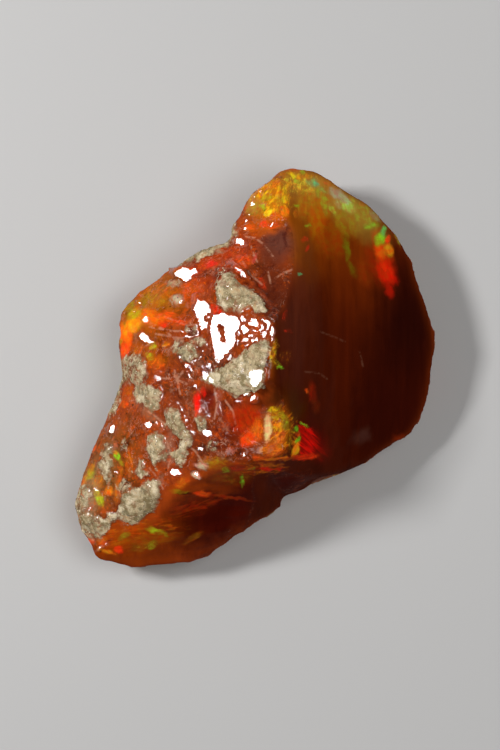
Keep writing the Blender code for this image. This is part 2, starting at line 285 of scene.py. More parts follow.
# Body colours of the upper side, laid over each other in this order: centre, half length, half
# width, turn, softness of the edge, colour and strength.
BODY_ZONES = {
    "left shoulder": ((-14.7, 8.6), 5.6, 3.36, 35, 0.7, (0.45, 0.099, 0.0036), 1.0),
    "left gold": ((-11.9, 11.2), 3.36, 2.24, 30, 0.7, (0.4, 0.13, 0.0072), 0.75),
    "shoulder olive": ((-17.4, 8.2), 1.68, 1.26, 30, 0.7, (0.36, 0.13, 0.006), 0.8),
    "upper skin": ((-5.6, 14.5), 6.3, 2.38, 32, 0.6, (0.34, 0.034, 0.0054), 0.9),
    "cheek amber": ((-14.1, 2.5), 2.24, 2.8, 70, 0.7, (0.39, 0.076, 0.0036), 0.9),
    "cheek hollow": ((-7.0, 1.1), 4.2, 1.82, -20, 0.7, (0.18, 0.042, 0.018), 0.85),
    "waist red": ((-9.4, -3.6), 4.48, 2.8, -30, 0.7, (0.23, 0.04, 0.011), 0.9),
    "dark lens": ((-6.7, -4.0), 1.68, 1.12, 75, 0.4, (0.17, 0.0091, 0.0024), 0.9),
    "lower skin": ((-5.6, -10.1), 5.6, 2.8, 0, 0.7, (0.19, 0.03, 0.0078), 0.9),
    "brick face": ((-2.4, -7.5), 3.64, 3.36, 60, 0.6, (0.22, 0.021, 0.0036), 0.9),
    "rose veil": ((-11.9, -10.7), 2.24, 0.84, 85, 0.7, (0.32, 0.12, 0.066), 0.7),
    "waist veil": ((-14.7, -6.2), 2.8, 0.7, -35, 0.7, (0.34, 0.14, 0.066), 0.6),
    "tail ground": ((-21.0, -14.3), 6.44, 3.64, 65, 0.7, (0.27, 0.095, 0.018), 0.9),
    "tail rim veil": ((-23.4, -18.2), 3.92, 1.26, 80, 0.8, (0.41, 0.24, 0.096), 0.75),
    "tail amber": ((-17.9, -13.2), 3.36, 1.26, 85, 0.7, (0.23, 0.049, 0.0048), 0.9),
    "crown gold": ((6.3, 25.7), 3.36, 2.8, -10, 0.7, (0.5, 0.21, 0.03), 0.95),
    "ridge amber": ((6.6, 19.3), 1.4, 5.04, 0, 0.9, (0.24, 0.061, 0.0048), 0.9),
    "ridge dark": ((5.7, 4.9), 1.96, 7.28, 0, 0.8, (0.11, 0.018, 0.0066), 0.9),
    # A dark olive patch in the hollow beside the wedge crust: painted shade.
    "olive painted shade": ((3.4, -3.0), 3.08, 1.82, 70, 0.7, (0.038, 0.011, 0.0018), 0.9),
    "crest gold": ((2.8, 1.9), 2.24, 0.84, 85, 0.8, (0.2, 0.057, 0.0024), 0.8),
    "mauve facet": ((3.2, 17.9), 2.8, 2.38, 60, 0.7, (0.13, 0.042, 0.027), 0.9),
    "mauve slope": ((2.5, 10.9), 4.76, 1.96, -80, 0.8, (0.095, 0.016, 0.006), 0.9),
    "lobe cheek": ((2.4, 24.0), 3.36, 3.08, 60, 0.6, (0.49, 0.13, 0.0048), 1.0),
    "lobe veil": ((-0.6, 23.1), 0.84, 1.68, 10, 0.8, (0.59, 0.27, 0.09), 0.55),
    "lobe ember": ((1.5, 20.5), 2.8, 1.26, 0, 0.7, (0.56, 0.095, 0.0042), 0.9),
    "under band": ((7.7, -14.9), 12.6, 2.38, 10, 0.6, (0.041, 0.0038, 0.0006), 0.9),
    "under face": ((-2.1, -19.0), 13.3, 3.36, 28, 0.6, (0.081, 0.0046, 0.0006), 1.0),
    "tail belly": ((-17.8, -24.7), 7.84, 3.08, 10, 0.7, (0.29, 0.04, 0.0018), 1.0),
    "belly dark": ((-6.0, -19.7), 6.72, 3.36, 28, 0.7, (0.045, 0.003, 0.0006), 0.92),
    "ledge": ((-9.1, -16.3), 4.76, 0.56, -3, 0.8, (0.32, 0.042, 0.0024), 0.8),
    "ledge slit": ((-9.8, -17.1), 1.26, 0.28, 0, 0.5, (0.027, 0.0046, 0.0012), 0.9),
}

# The same for the smooth right-hand face.
FACE_ZONES = {
    "gold shoulder": ((8.8, 23.1), 6.44, 7.0, 0, 0.8, (0.42, 0.099, 0.0024), 1.0),
    "amber middle": ((11.2, 17.5), 7.84, 5.04, -60, 0.9, (0.18, 0.023, 0.0012), 0.85),
    "olive rim": ((13.6, 22.1), 4.76, 2.1, -42, 0.8, (0.33, 0.19, 0.024), 0.85),
    "crown face": ((7.4, 25.4), 3.64, 2.52, -15, 0.8, (0.5, 0.22, 0.03), 0.9),
    "amber edge": ((6.7, 19.6), 1.68, 6.44, 0, 0.9, (0.25, 0.061, 0.0036), 0.8),
    "dark flank": ((22.0, 5.6), 11.9, 5.04, 80, 0.8, (0.02, 0.0023, 0.0006), 0.95),
    "dark heart": ((18.2, -6.4), 8.68, 7.28, 0, 0.8, (0.041, 0.0038, 0.0012), 0.9),
    "warm band": ((12.2, -2.2), 8.68, 1.82, 88, 0.9, (0.09, 0.0091, 0.0012), 0.8),
    "mauve band": ((6.0, 7.7), 2.1, 8.12, 0, 0.9, (0.13, 0.022, 0.0084), 0.9),
    "olive ground": ((5.2, -6.1), 1.4, 3.36, 0, 0.8, (0.077, 0.02, 0.0012), 0.8),
    "fan ground": ((7.1, -9.8), 2.8, 1.96, -40, 0.8, (0.09, 0.0038, 0.0006), 0.85),
    "heel veil": ((14.8, -9.3), 0.98, 0.84, 60, 0.9, (0.086, 0.026, 0.018), 0.8),
    "heel glow": ((20.4, -9.4), 0.7, 0.49, 30, 0.8, (0.27, 0.019, 0.0018), 0.7),
}

# Flashes of the play of colour: centre, half length, half width, turn, tint, cover, the lie and
# the stretch of the strokes in them, and how softly they glow.
FLASHES = {
    "lobe field": ((2.2, 24.0), 3.08, 2.8, 0, (0.83, 0.36, 0.0072), 0.56, 72, 2.2, 0.0),
    "crown field": ((6.6, 26.0), 3.08, 1.54, -15, (0.81, 0.47, 0.03), 0.58, 75, 2.2, 0.0),
    "lobe leaf": ((1.5, 24.1), 0.7, 0.42, 10, (0.43, 0.42, 0.012), 0.68, 60, 1.6, 0.2),
    "lobe leaf upper": ((2.2, 25.7), 0.56, 0.42, 45, (0.72, 0.34, 0.012), 0.48, 45, 1.6, 0.2),
    "lobe olive": ((0.0, 22.6), 1.4, 1.12, 60, (0.32, 0.2, 0.012), 0.55, 60, 1.5, 0.6),
    "lobe gold ring": ((4.2, 24.2), 0.7, 1.4, 0, (0.88, 0.42, 0.009), 0.68, 85, 2.4, 0.0),
    "lobe lime": ((3.6, 23.6), 0.7, 0.56, 60, (0.5, 0.38, 0.012), 0.56, 70, 1.6, 0.1),
    "lobe yellow": ((1.9, 22.1), 0.84, 0.45, 25, (0.9, 0.5, 0.012), 0.96, 25, 2, 0.2),
    "lobe amber": ((4.2, 22.2), 1.12, 0.56, 88, (0.9, 0.19, 0.006), 0.8, 85, 2.4, 0.2),
    "lobe orange glow": ((3.4, 21.4), 1.4, 0.63, 0, (0.77, 0.11, 0.0048), 0.56, 0, 1.8, 0.3),
    "lobe ember": ((2.4, 20.3), 1.26, 0.63, 0, (0.72, 0.053, 0.0036), 0.6, 10, 1.8, 0.2),
    "lobe red": ((1.2, 20.4), 0.63, 0.56, 0, (0.79, 0.038, 0.012), 0.72, 0, 1.3, 0.2),
    "lobe orange": ((-0.8, 19.9), 0.98, 0.56, 0, (0.72, 0.091, 0.006), 0.56, 0, 1.5, 0.2),
    "crown yellow": ((5.2, 27.2), 0.63, 0.31, -50, (0.9, 0.57, 0.012), 0.96, -50, 1.6, 0.4),
    "crown lime": ((5.8, 26.5), 0.42, 0.28, -40, (0.45, 0.57, 0.03), 0.88, -40, 1.5, 0.3),
    "crown gold": ((7.1, 27.1), 0.7, 0.42, 0, (0.68, 0.27, 0.012), 0.56, 70, 2, 0.3),
    "crown haze": ((8.1, 26.3), 0.98, 0.56, -30, (0.23, 0.34, 0.096), 0.65, -30, 2, 0.6),
    "crown teal": ((8.6, 26.1), 0.49, 0.31, -30, (0.09, 0.47, 0.18), 1.0, -30, 1.5, 0.5),
    "crown dash one": ((6.2, 27.0), 0.49, 0.22, -55, (0.81, 0.42, 0.012), 0.88, -55, 2, 0.3),
    "crown dash two": ((8.8, 24.9), 0.84, 0.28, -82, (0.32, 0.27, 0.018), 0.8, -82, 4, 0.5),
    "crown dash three": ((10.8, 22.5), 0.84, 0.31, -60, (0.36, 0.32, 0.024), 0.8, -60, 3, 0.5),
    "crown dash four": ((6.7, 27.7), 0.56, 0.25, -60, (0.27, 0.46, 0.018), 0.8, -60, 2, 0.3),
    "crown dash five": ((4.5, 25.7), 0.56, 0.31, 60, (0.85, 0.38, 0.012), 0.8, 60, 2, 0.2),
    "crown dash six": ((7.6, 25.2), 0.7, 0.31, 75, (0.68, 0.4, 0.024), 0.72, 75, 2, 0.3),
    "crown dash seven": ((9.4, 25.2), 0.7, 0.34, -35, (0.25, 0.38, 0.06), 0.64, -35, 2, 0.4),
    "crown dash eight": ((2.9, 26.1), 0.56, 0.31, 50, (0.81, 0.26, 0.012), 0.72, 50, 2, 0.2),
    "crown dash nine": ((10.2, 26.0), 0.7, 0.28, -35, (0.54, 0.12, 0.018), 0.6, -35, 2, 0.5),
    "lobe green ring": ((1.0, 22.8), 0.56, 0.42, -40, (0.32, 0.46, 0.012), 0.72, -40, 1.6, 0.2),
    "rim speck one": ((13.6, 23.8), 0.56, 0.28, -35, (0.45, 0.34, 0.036), 0.56, -35, 2, 0.4),
    "rim speck two": ((15.0, 23.2), 0.42, 0.25, -35, (0.5, 0.14, 0.018), 0.48, -35, 2, 0.4),
    "crown red rim": ((5.7, 28.1), 2.38, 0.34, 0, (0.56, 0.091, 0.018), 0.6, 0, 3, 0.7),
    # Pale grey patches on the crown's right edge: a painted reflection.
    "painted silver reflection": ((11.5, 24.6), 1.26, 0.7, -40, (0.38, 0.33, 0.22), 0.6, -40, 2.5, 0.8),
    "low painted silver reflection": ((12.6, 23.9), 0.84, 0.48, -40, (0.41, 0.43, 0.23), 0.6, -40, 2.5, 0.6),
    "rim lime": ((13.0, 22.9), 1.26, 0.77, -40, (0.41, 0.44, 0.06), 0.85, -75, 3, 0.5),
    "rim pale": ((11.6, 23.2), 0.7, 0.42, -60, (0.41, 0.38, 0.12), 0.5, -75, 3, 0.5),
    "face leaf streak": ((9.7, 23.5), 1.68, 0.36, -85, (0.31, 0.26, 0.012), 0.75, -85, 6, 0.7),
    "rim olive": ((15.0, 21.8), 2.24, 1.26, -45, (0.31, 0.24, 0.021), 0.7, -70, 4, 0.7),
    "rim leaf edge": ((16.2, 20.1), 0.98, 0.36, 10, (0.23, 0.35, 0.018), 0.7, 10, 3, 0.6),
    "rim grey edge": ((16.9, 21.5), 0.98, 0.36, -55, (0.31, 0.3, 0.12), 0.5, -55, 3, 0.6),
    "rim flame": ((17.9, 15.6), 3.78, 1.26, -78, (0.54, 0.042, 0.0024), 0.65, -75, 4, 1),
    "rim green": ((17.5, 18.2), 0.98, 0.7, 60, (0.22, 0.47, 0.012), 0.9, 70, 2.4, 0.6),
    "rim green top": ((18.0, 19.4), 0.7, 0.39, 75, (0.11, 0.4, 0.072), 0.85, 75, 2.4, 0.6),
    "rim red dot": ((18.6, 18.2), 0.42, 0.42, 0, (0.77, 0.046, 0.006), 0.85, 0, 1.3, 0.6),
    "rim gold": ((18.7, 16.8), 0.98, 0.56, -75, (0.68, 0.2, 0.006), 0.85, -75, 3, 0.7),
    "rim orange": ((17.5, 16.5), 1.12, 0.77, -60, (0.72, 0.084, 0.0036), 0.9, -70, 3, 0.8),
    "rim red": ((18.3, 13.7), 2.1, 1.26, -72, (0.77, 0.0076, 0.0018), 0.85, -72, 5, 0.95),
    "rim red low": ((18.8, 11.2), 1.12, 0.56, -80, (0.45, 0.0076, 0.0018), 0.6, -75, 3, 0.9),
    "rim red glow": ((16.7, 14.8), 2.8, 1.26, -75, (0.45, 0.027, 0.0024), 0.3, -75, 4, 1),
    "rim red fleck": ((19.2, 19.7), 0.48, 0.31, -60, (0.72, 0.038, 0.018), 0.64, -60, 1.5, 0.3),
    "right rim leaf": ((20.0, 18.2), 0.98, 0.31, -68, (0.34, 0.24, 0.024), 0.6, -68, 3, 0.5),
    "face green line": ((12.9, 16.8), 1.96, 0.42, -85, (0.15, 0.18, 0.0048), 0.42, -85, 5, 1),
    "face green line mid": ((13.6, 14.2), 1.26, 0.42, -65, (0.14, 0.12, 0.0036), 0.35, -65, 5, 1),
    "face high veil": ((6.9, 23.3), 2.1, 1.12, 85, (0.54, 0.19, 0.0072), 0.55, -88, 7, 0.8),
    "face gold veil": ((8.8, 22.1), 3.64, 1.68, 90, (0.5, 0.13, 0.0024), 0.6, -88, 9, 0.95),
    "face gold low": ((10.5, 18.4), 2.8, 1.96, -70, (0.36, 0.068, 0.0018), 0.45, -80, 8, 1),
    "face olive veil": ((12.7, 20.7), 2.1, 1.82, -60, (0.32, 0.18, 0.006), 0.5, -78, 7, 0.95),
    "face red veil": ((15.5, 13.7), 1.96, 1.12, -75, (0.41, 0.046, 0.003), 0.25, -75, 5, 1),
    "face red fleck": ((7.0, 18.2), 0.48, 0.36, 0, (0.63, 0.023, 0.006), 0.56, 60, 1.5, 0.4),
    "face red fleck low": ((7.4, 17.0), 0.56, 0.28, 70, (0.5, 0.023, 0.006), 0.5, 70, 2, 0.6),
    "face teal fleck": ((6.3, 13.5), 0.34, 0.25, -20, (0.072, 0.42, 0.15), 0.72, -20, 1.2, 0.3),
    "face dash": ((5.7, 23.0), 0.5, 0.2, 0, (0.36, 0.42, 0.012), 0.76, 0, 2.5, 0.3),
    "face dash gold": ((5.7, 21.9), 0.7, 0.22, 88, (0.63, 0.15, 0.006), 0.56, 88, 2.5, 0.4),
    "face dash high": ((7.6, 24.2), 0.7, 0.25, 88, (0.56, 0.2, 0.006), 0.6, 88, 2.5, 0.5),
    "face dash low": ((7.4, 20.1), 0.42, 0.18, 0, (0.31, 0.32, 0.012), 0.64, 0, 2.5, 0.4),
    "face ember": ((7.2, -3.0), 0.49, 0.28, -50, (0.77, 0.091, 0.006), 0.68, -50, 1.8, 0.3),
    "face ember glow": ((8.1, -3.4), 1.68, 0.56, -85, (0.38, 0.019, 0.0018), 0.36, -85, 4, 0.7),
    "face ember low": ((8.5, -5.1), 0.98, 0.56, -85, (0.27, 0.03, 0.0018), 0.26, -85, 3, 0.7),
    "crest red": ((4.1, 7.5), 0.84, 0.42, 75, (0.63, 0.023, 0.006), 0.4, 75, 1.6, 0.1),
    "crest red low": ((4.6, 5.4), 0.56, 0.28, 0, (0.54, 0.023, 0.006), 0.36, 0, 1.6, 0.2),
    "slope reds": ((1.0, 12.1), 1.12, 0.7, -60, (0.68, 0.03, 0.006), 0.44, -50, 1.4, 0.1),
    "brow glow": ((-2.0, 15.1), 1.4, 1.26, 0, (0.77, 0.076, 0.006), 0.6, 40, 1.5, 0.2),
    "brow red": ((-6.2, 14.8), 0.84, 0.56, 10, (0.79, 0.015, 0.012), 0.76, 10, 1.5, 0.4),
    "brow pink": ((-0.1, 15.6), 0.7, 0.34, 70, (0.72, 0.091, 0.072), 0.48, 70, 1.5, 0.4),
    "brow ember": ((-7.3, 14.5), 2.24, 0.84, 20, (0.72, 0.068, 0.0048), 0.48, 25, 2, 0.3),
    "brow field": ((-4.1, 15.6), 2.8, 1.26, 20, (0.65, 0.053, 0.0048), 0.4, 30, 1.8, 0.3),
    "shoulder gold": ((-17.2, 6.2), 1.4, 0.98, 35, (0.9, 0.32, 0.0048), 1.0, 20, 3, 0.85),
    "shoulder leaf": ((-16.9, 7.8), 0.98, 0.63, 35, (0.5, 0.35, 0.0072), 0.9, 35, 2.2, 0.6),
    "shoulder leaf high": ((-17.5, 8.8), 0.84, 0.56, 45, (0.32, 0.26, 0.012), 0.6, 45, 1.8, 0.5),
    "shoulder amber": ((-18.2, 5.1), 1.26, 1.12, 60, (0.9, 0.18, 0.0036), 1.0, 60, 2.5, 0.85),
    "shoulder spike": ((-18.1, 3.3), 1.82, 0.7, 68, (0.9, 0.076, 0.0024), 1.0, 68, 4, 0.85),
    "spike dot": ((-19.0, 3.7), 0.42, 0.31, 80, (0.63, 0.42, 0.012), 0.64, 80, 1.3, 0.3),
    "shoulder orange": ((-14.7, 7.4), 2.52, 1.12, -15, (0.85, 0.15, 0.0036), 0.8, -15, 4, 0.6),
    "cheek red lines": ((-11.8, 7.2), 2.38, 1.12, -8, (0.77, 0.068, 0.006), 0.56, -8, 4, 0.2),
    "cheek red spot": ((-12.7, 6.2), 0.63, 0.42, 0, (0.83, 0.015, 0.006), 0.76, 0, 1.5, 0.3),
    "cheek field": ((-8.8, 10.9), 1.82, 2.24, 0, (0.72, 0.076, 0.0048), 0.48, 40, 1.6, 0.3),
    "left field": ((-13.6, 10.6), 3.36, 1.82, 30, (0.68, 0.15, 0.006), 0.4, 30, 2, 0.3),
    "pale spot": ((-11.0, 9.9), 0.76, 0.62, 0, (0.52, 0.38, 0.26), 0.85, 0, 1.5, 0.5),
    "pale spot high": ((-11.5, 12.1), 0.84, 0.48, 0, (0.5, 0.32, 0.18), 0.6, 0, 1.5, 0.5),
    "left olive": ((-15.1, 9.8), 1.4, 0.84, 30, (0.38, 0.23, 0.006), 0.48, 30, 1.6, 0.3),
    "left olive right": ((-13.0, 9.6), 0.84, 0.56, 30, (0.41, 0.2, 0.006), 0.4, 30, 1.6, 0.3),
    "brow tip red": ((-5.7, 8.6), 0.7, 0.56, -20, (0.79, 0.023, 0.006), 0.72, 0, 1.4, 0.3),
    "brow tip low": ((-5.0, 8.2), 0.56, 0.42, 0, (0.72, 0.015, 0.006), 0.64, 0, 1.4, 0.3),
    "cheek lime": ((-14.3, 3.3), 0.7, 0.5, -45, (0.43, 0.38, 0.012), 0.76, -45, 1.6, 0.2),
    "cheek lime low": ((-14.8, 1.9), 0.56, 0.56, 0, (0.41, 0.32, 0.012), 0.64, 0, 1.4, 0.2),
    "cheek orange": ((-13.7, 0.8), 1.4, 0.98, 0, (0.77, 0.13, 0.0048), 0.52, 40, 1.6, 0.2),
    "cheek amber dab": ((-12.5, 3.5), 0.56, 0.42, 20, (0.77, 0.18, 0.006), 0.56, 20, 1.6, 0.2),
    "cheek gold": ((-16.5, 2.8), 0.98, 0.7, 60, (0.68, 0.15, 0.006), 0.48, 60, 1.6, 0.3),
    "waist orange": ((-17.8, -3.4), 1.26, 0.84, 80, (0.56, 0.099, 0.0048), 0.48, 80, 1.6, 0.4),
    "waist orange low": ((-18.3, -4.8), 0.56, 0.56, 0, (0.72, 0.091, 0.0048), 0.64, 0, 1.4, 0.3),
    "strip red": ((-8.1, -4.7), 1.4, 0.48, 88, (0.83, 0.0076, 0.0036), 1.0, 88, 3, 0.6),
    "strip red top": ((-7.3, -3.0), 0.7, 0.42, 80, (0.72, 0.015, 0.006), 0.6, 80, 2, 0.4),
    "strip red base": ((-8.3, -6.2), 0.7, 0.28, 80, (0.77, 0.023, 0.006), 0.56, 80, 2, 0.3),
    "skin ember": ((-13.3, -0.3), 0.84, 0.42, 20, (0.68, 0.061, 0.006), 0.4, 20, 1.4, 0.1),
    "crest gold": ((2.5, 2.2), 1.82, 0.56, 80, (0.68, 0.32, 0.012), 0.5, 80, 1.5, 0.0),
    "crest gold low": ((3.1, 0.8), 0.84, 0.42, -60, (0.54, 0.3, 0.012), 0.4, -60, 1.5, 0.0),
    "crest green dot": ((3.5, 0.3), 0.48, 0.22, -10, (0.23, 0.57, 0.018), 0.77, -10, 2, 0.3),
    "crest ambers": ((4.2, 1.8), 0.98, 0.98, 0, (0.5, 0.12, 0.006), 0.28, 60, 1.5, 0.1),
    "hearth red": ((-1.3, -7.1), 2.52, 2.1, 0, (0.54, 0.03, 0.0024), 0.66, -65, 3, 0.5),
    "hearth orange": ((-0.6, -9.4), 1.82, 1.12, 35, (0.9, 0.076, 0.0036), 0.8, 60, 2.2, 0.3),
    "hearth bright": ((0.4, -8.4), 1.68, 0.77, 86, (0.9, 0.17, 0.006), 0.8, 84, 2.4, 0.3),
    # A pale gold streak on the hearth that stands in for its wet gloss: a painted highlight.
    "hearth painted highlight": ((1.8, -8.2), 1.96, 0.5, 86, (0.9, 0.55, 0.23), 1.0, 86, 5, 0.8),
    "hearth field": ((3.5, -8.7), 2.38, 3.36, 0, (0.81, 0.26, 0.006), 0.53, 60, 1.8, 0.0),
    "fan field": ((5.3, -9.6), 0.7, 2.24, 10, (0.54, 0.2, 0.006), 0.4, -40, 3, 0.0),
    "hearth gold": ((2.8, -6.1), 1.12, 0.84, -30, (0.68, 0.35, 0.0072), 0.64, -30, 1.6, 0.1),
    "hearth leaf": ((3.6, -6.4), 0.84, 0.56, -30, (0.36, 0.32, 0.009), 0.68, -30, 1.8, 0.15),
    "hearth gold mid": ((3.2, -7.9), 0.84, 0.84, 60, (0.85, 0.32, 0.006), 0.64, 60, 1.6, 0.1),
    "hearth leaf low": ((4.3, -7.6), 0.56, 0.7, 0, (0.27, 0.26, 0.009), 0.56, 60, 1.8, 0.2),
    "hearth amber": ((3.6, -9.8), 0.84, 0.7, 70, (0.79, 0.15, 0.006), 0.72, 60, 2, 0.2),
    "hearth low": ((2.4, -11.2), 1.96, 0.98, 0, (0.68, 0.15, 0.006), 0.6, 20, 2, 0.2),
    "hearth low red": ((0.3, -12.4), 0.84, 0.42, 0, (0.77, 0.076, 0.006), 0.64, 0, 1.6, 0.2),
    "fan green": ((5.8, -8.2), 0.48, 0.28, 80, (0.2, 0.61, 0.018), 0.78, 80, 2, 0.3),
    "fan green low": ((6.0, -9.8), 0.56, 0.31, 60, (0.23, 0.57, 0.018), 0.76, 60, 2, 0.3),
    "fan red dot": ((6.0, -9.0), 0.28, 0.28, 0, (0.81, 0.076, 0.006), 0.72, 0, 1.5, 0.3),
    "fan green tip": ((6.9, -7.6), 0.63, 0.15, -32, (0.32, 0.57, 0.018), 0.76, -32, 3, 0.4),
    "fan orange": ((5.7, -11.2), 1.12, 0.42, 66, (0.9, 0.32, 0.0072), 1.25, 60, 4, 0.46),
    "fan red": ((7.0, -10.7), 1.96, 1.26, -38, (0.9, 0.0046, 0.0012), 0.74, -40, 9, 0.0),
    "fan red high": ((7.6, -9.2), 2.24, 0.98, -40, (0.85, 0.0046, 0.0012), 0.53, -40, 9, 0.0),
    "fan glow": ((8.3, -10.7), 2.52, 1.68, -38, (0.41, 0.0061, 0.0012), 0.3, -40, 9, 0.5),
    "fan red low": ((7.1, -12.2), 1.96, 0.45, 3, (0.85, 0.046, 0.0048), 0.76, 3, 5, 0.4),
    "ridge line": ((2.9, -12.5), 2.52, 0.27, 3, (0.79, 0.15, 0.006), 0.68, 3, 6, 0.3),
    "under red line": ((2.1, -13.9), 1.68, 0.18, 0, (0.65, 0.015, 0.0024), 0.85, 0, 6, 0.5),
    "under gold dash": ((-0.4, -13.9), 0.42, 0.22, 0, (0.41, 0.23, 0.012), 0.56, 0, 2, 0.3),
    "under olive": ((-5.7, -13.1), 1.96, 0.98, 0, (0.36, 0.17, 0.006), 0.48, 0, 1.8, 0.3),
    "under green": ((-1.8, -15.6), 0.84, 0.22, 88, (0.16, 0.32, 0.012), 0.68, 88, 2, 0.4),
    "under field": ((-0.4, -13.8), 4.76, 0.98, 2, (0.56, 0.099, 0.0048), 0.48, 0, 3, 0.0),
    "under dots": ((-4.1, -14.1), 0.56, 0.42, 0, (0.27, 0.34, 0.012), 0.64, 0, 1.5, 0.1),
    "under reds": ((-2.5, -13.8), 1.26, 0.48, 0, (0.65, 0.03, 0.006), 0.56, 0, 2, 0.2),
    "under amber": ((-3.5, -15.0), 3.08, 0.98, 0, (0.31, 0.084, 0.0048), 0.35, 0, 2, 0.5),
    "ledge chip": ((-7.6, -13.4), 0.91, 0.45, -12, (0.7, 0.47, 0.3), 0.8, -12, 2, 0.4),
    "ledge chip low": ((-8.3, -14.8), 0.7, 0.34, -35, (0.77, 0.53, 0.36), 0.8, -35, 2, 0.4),
    "ledge glow": ((-7.4, -17.4), 1.12, 0.36, 0, (0.83, 0.068, 0.0048), 0.98, 0, 3, 0.7),
    "ledge line": ((-4.2, -17.8), 3.64, 0.22, -8, (0.32, 0.027, 0.0024), 0.6, -8, 6, 0.8),
    "ledge olive": ((-10.5, -17.1), 1.26, 0.25, 0, (0.36, 0.21, 0.006), 0.6, 0, 4, 0.5),
    "ledge orange": ((-10.2, -15.9), 1.12, 0.7, 30, (0.65, 0.11, 0.006), 0.6, 30, 1.6, 0.5),
    "tail green": ((-19.4, -12.0), 0.7, 0.42, -65, (0.23, 0.57, 0.012), 0.78, -65, 1.8, 0.35),
    "tail green low": ((-18.8, -13.0), 0.63, 0.31, -65, (0.31, 0.32, 0.012), 0.64, -65, 1.8, 0.35),
    "tail orange tip": ((-19.7, -11.5), 0.42, 0.25, 0, (0.81, 0.15, 0.012), 0.74, 0, 1.5, 0.3),
    "tail leaf": ((-21.7, -18.2), 0.98, 0.53, -70, (0.41, 0.46, 0.012), 0.78, -70, 1.8, 0.35),
    "tail leaf high": ((-22.1, -17.3), 0.56, 0.42, -60, (0.5, 0.32, 0.012), 0.56, -60, 1.6, 0.3),
    "tail olive": ((-23.0, -14.6), 0.84, 0.5, 70, (0.41, 0.34, 0.012), 0.68, 60, 1.6, 0.35),
    "tail amber": ((-20.4, -17.0), 0.77, 0.63, 60, (0.81, 0.17, 0.006), 0.76, 60, 1.8, 0.4),
    "tail amber low": ((-19.2, -17.1), 1.4, 0.42, 85, (0.7, 0.13, 0.006), 0.6, 85, 3, 0.4),
    "tail gold": ((-21.8, -15.7), 1.12, 0.84, 60, (0.63, 0.18, 0.012), 0.44, 60, 1.8, 0.4),
    "tail rim gold": ((-23.4, -14.6), 1.82, 0.42, 60, (0.65, 0.2, 0.012), 0.6, 60, 3, 0.5),
    "tail streaks": ((-17.6, -13.1), 2.24, 0.63, 88, (0.65, 0.12, 0.006), 0.6, 88, 4, 0.3),
    "tail streak left": ((-18.9, -14.9), 1.4, 0.42, 80, (0.56, 0.11, 0.006), 0.48, 80, 3, 0.4),
    "tail left red": ((-22.4, -10.9), 0.56, 0.28, 70, (0.81, 0.091, 0.012), 0.68, 70, 2, 0.4),
    "belly lime": ((-14.0, -22.5), 1.26, 0.34, -12, (0.41, 0.38, 0.009), 0.95, -15, 3, 0.5),
    "belly lime tip": ((-12.9, -22.9), 0.84, 0.22, -25, (0.38, 0.23, 0.006), 0.7, -25, 3, 0.6),
    "belly olive": ((-18.3, -23.3), 0.7, 0.39, 30, (0.27, 0.26, 0.012), 0.64, 30, 1.6, 0.4),
    "belly olive mid": ((-14.4, -24.6), 0.84, 0.5, 40, (0.29, 0.26, 0.009), 0.6, 40, 1.8, 0.3),
    "belly olive left": ((-16.1, -25.0), 1.12, 0.42, 10, (0.36, 0.21, 0.009), 0.4, 10, 1.8, 0.3),
    "belly gold": ((-15.0, -23.9), 4.2, 0.7, 8, (0.45, 0.11, 0.0036), 0.45, 10, 5, 0.8),
    "belly field": ((-16.1, -22.7), 6.44, 2.24, 10, (0.56, 0.091, 0.0036), 0.4, 10, 5, 0.1),
    "under streaks": ((-8.4, -19.0), 4.76, 1.68, 20, (0.27, 0.023, 0.0024), 0.4, 15, 6, 0.1),
    "belly red": ((-19.1, -25.2), 0.63, 0.48, 0, (0.83, 0.046, 0.006), 0.97, 0, 1.4, 0.6),
    "belly gold line": ((-20.7, -25.5), 1.26, 0.28, -20, (0.68, 0.2, 0.009), 0.65, -20, 3, 0.5),
    "belly edge red": ((-23.0, -24.0), 0.7, 0.48, 40, (0.79, 0.061, 0.012), 0.8, 40, 1.5, 0.5),
    "belly orange": ((-21.3, -23.9), 1.12, 0.56, 30, (0.65, 0.11, 0.006), 0.6, 30, 1.8, 0.5),
    "belly right": ((-8.7, -23.6), 1.4, 0.42, 30, (0.36, 0.099, 0.0048), 0.5, 30, 5, 0.7),
}

# Large wet planes that face half way between the lamp and the eye: how far each may move the skin,
# and its corners.
WET_SHEETS = {
    "sheet top": (0.85, (
        (-8.3, 10), (-8.1, 10.5), (-7.5, 10.4), (-7.1, 9.5), (-6.4, 8.7), (-6, 8.1), (-6.4, 7.4),
        (-6.6, 5.7), (-7.3, 5.7), (-8, 7.3), (-8.3, 8.2),
    )),
    "sheet low": (0.85, (
        (-6.6, 7.5), (-6, 8.1), (-5.5, 7.9), (-2.5, 7.7), (-2.3, 6.6), (-3, 5.4), (-3.2, 3.6),
        (-3.9, 2.5), (-4.6, 1.4), (-5, 1.1), (-5.6, 2.3), (-6.2, 4.2), (-6.5, 5.6), (-6.2, 6.7),
    )),
    "wedge sheet": (0.85, (
        (-0.7, -0.1), (0.1, 0.2), (1.3, 0.1), (1, -1.2), (0.8, -2.3), (0, -2.4), (-0.6, -1.9),
        (-0.7, -0.9),
    )),
    "chain sheet": (0.4, (
        (-3.9, 14.9), (-3.4, 15.1), (-2.5, 14.7), (-2, 14.1), (-1.4, 13.7), (-0.8, 12.9),
        (-1, 12.6), (-1.5, 12.9), (-2, 13.3), (-2.4, 13.9), (-3.1, 14.4), (-3.8, 14.5),
    )),
    "upper sheet": (0.85, (
        (-11.6, 13.6), (-10.8, 13.7), (-9.8, 14), (-8.1, 14.2), (-9.1, 13.5), (-9.2, 12.7),
        (-10.4, 12.6), (-11.1, 13.1),
    )),
}

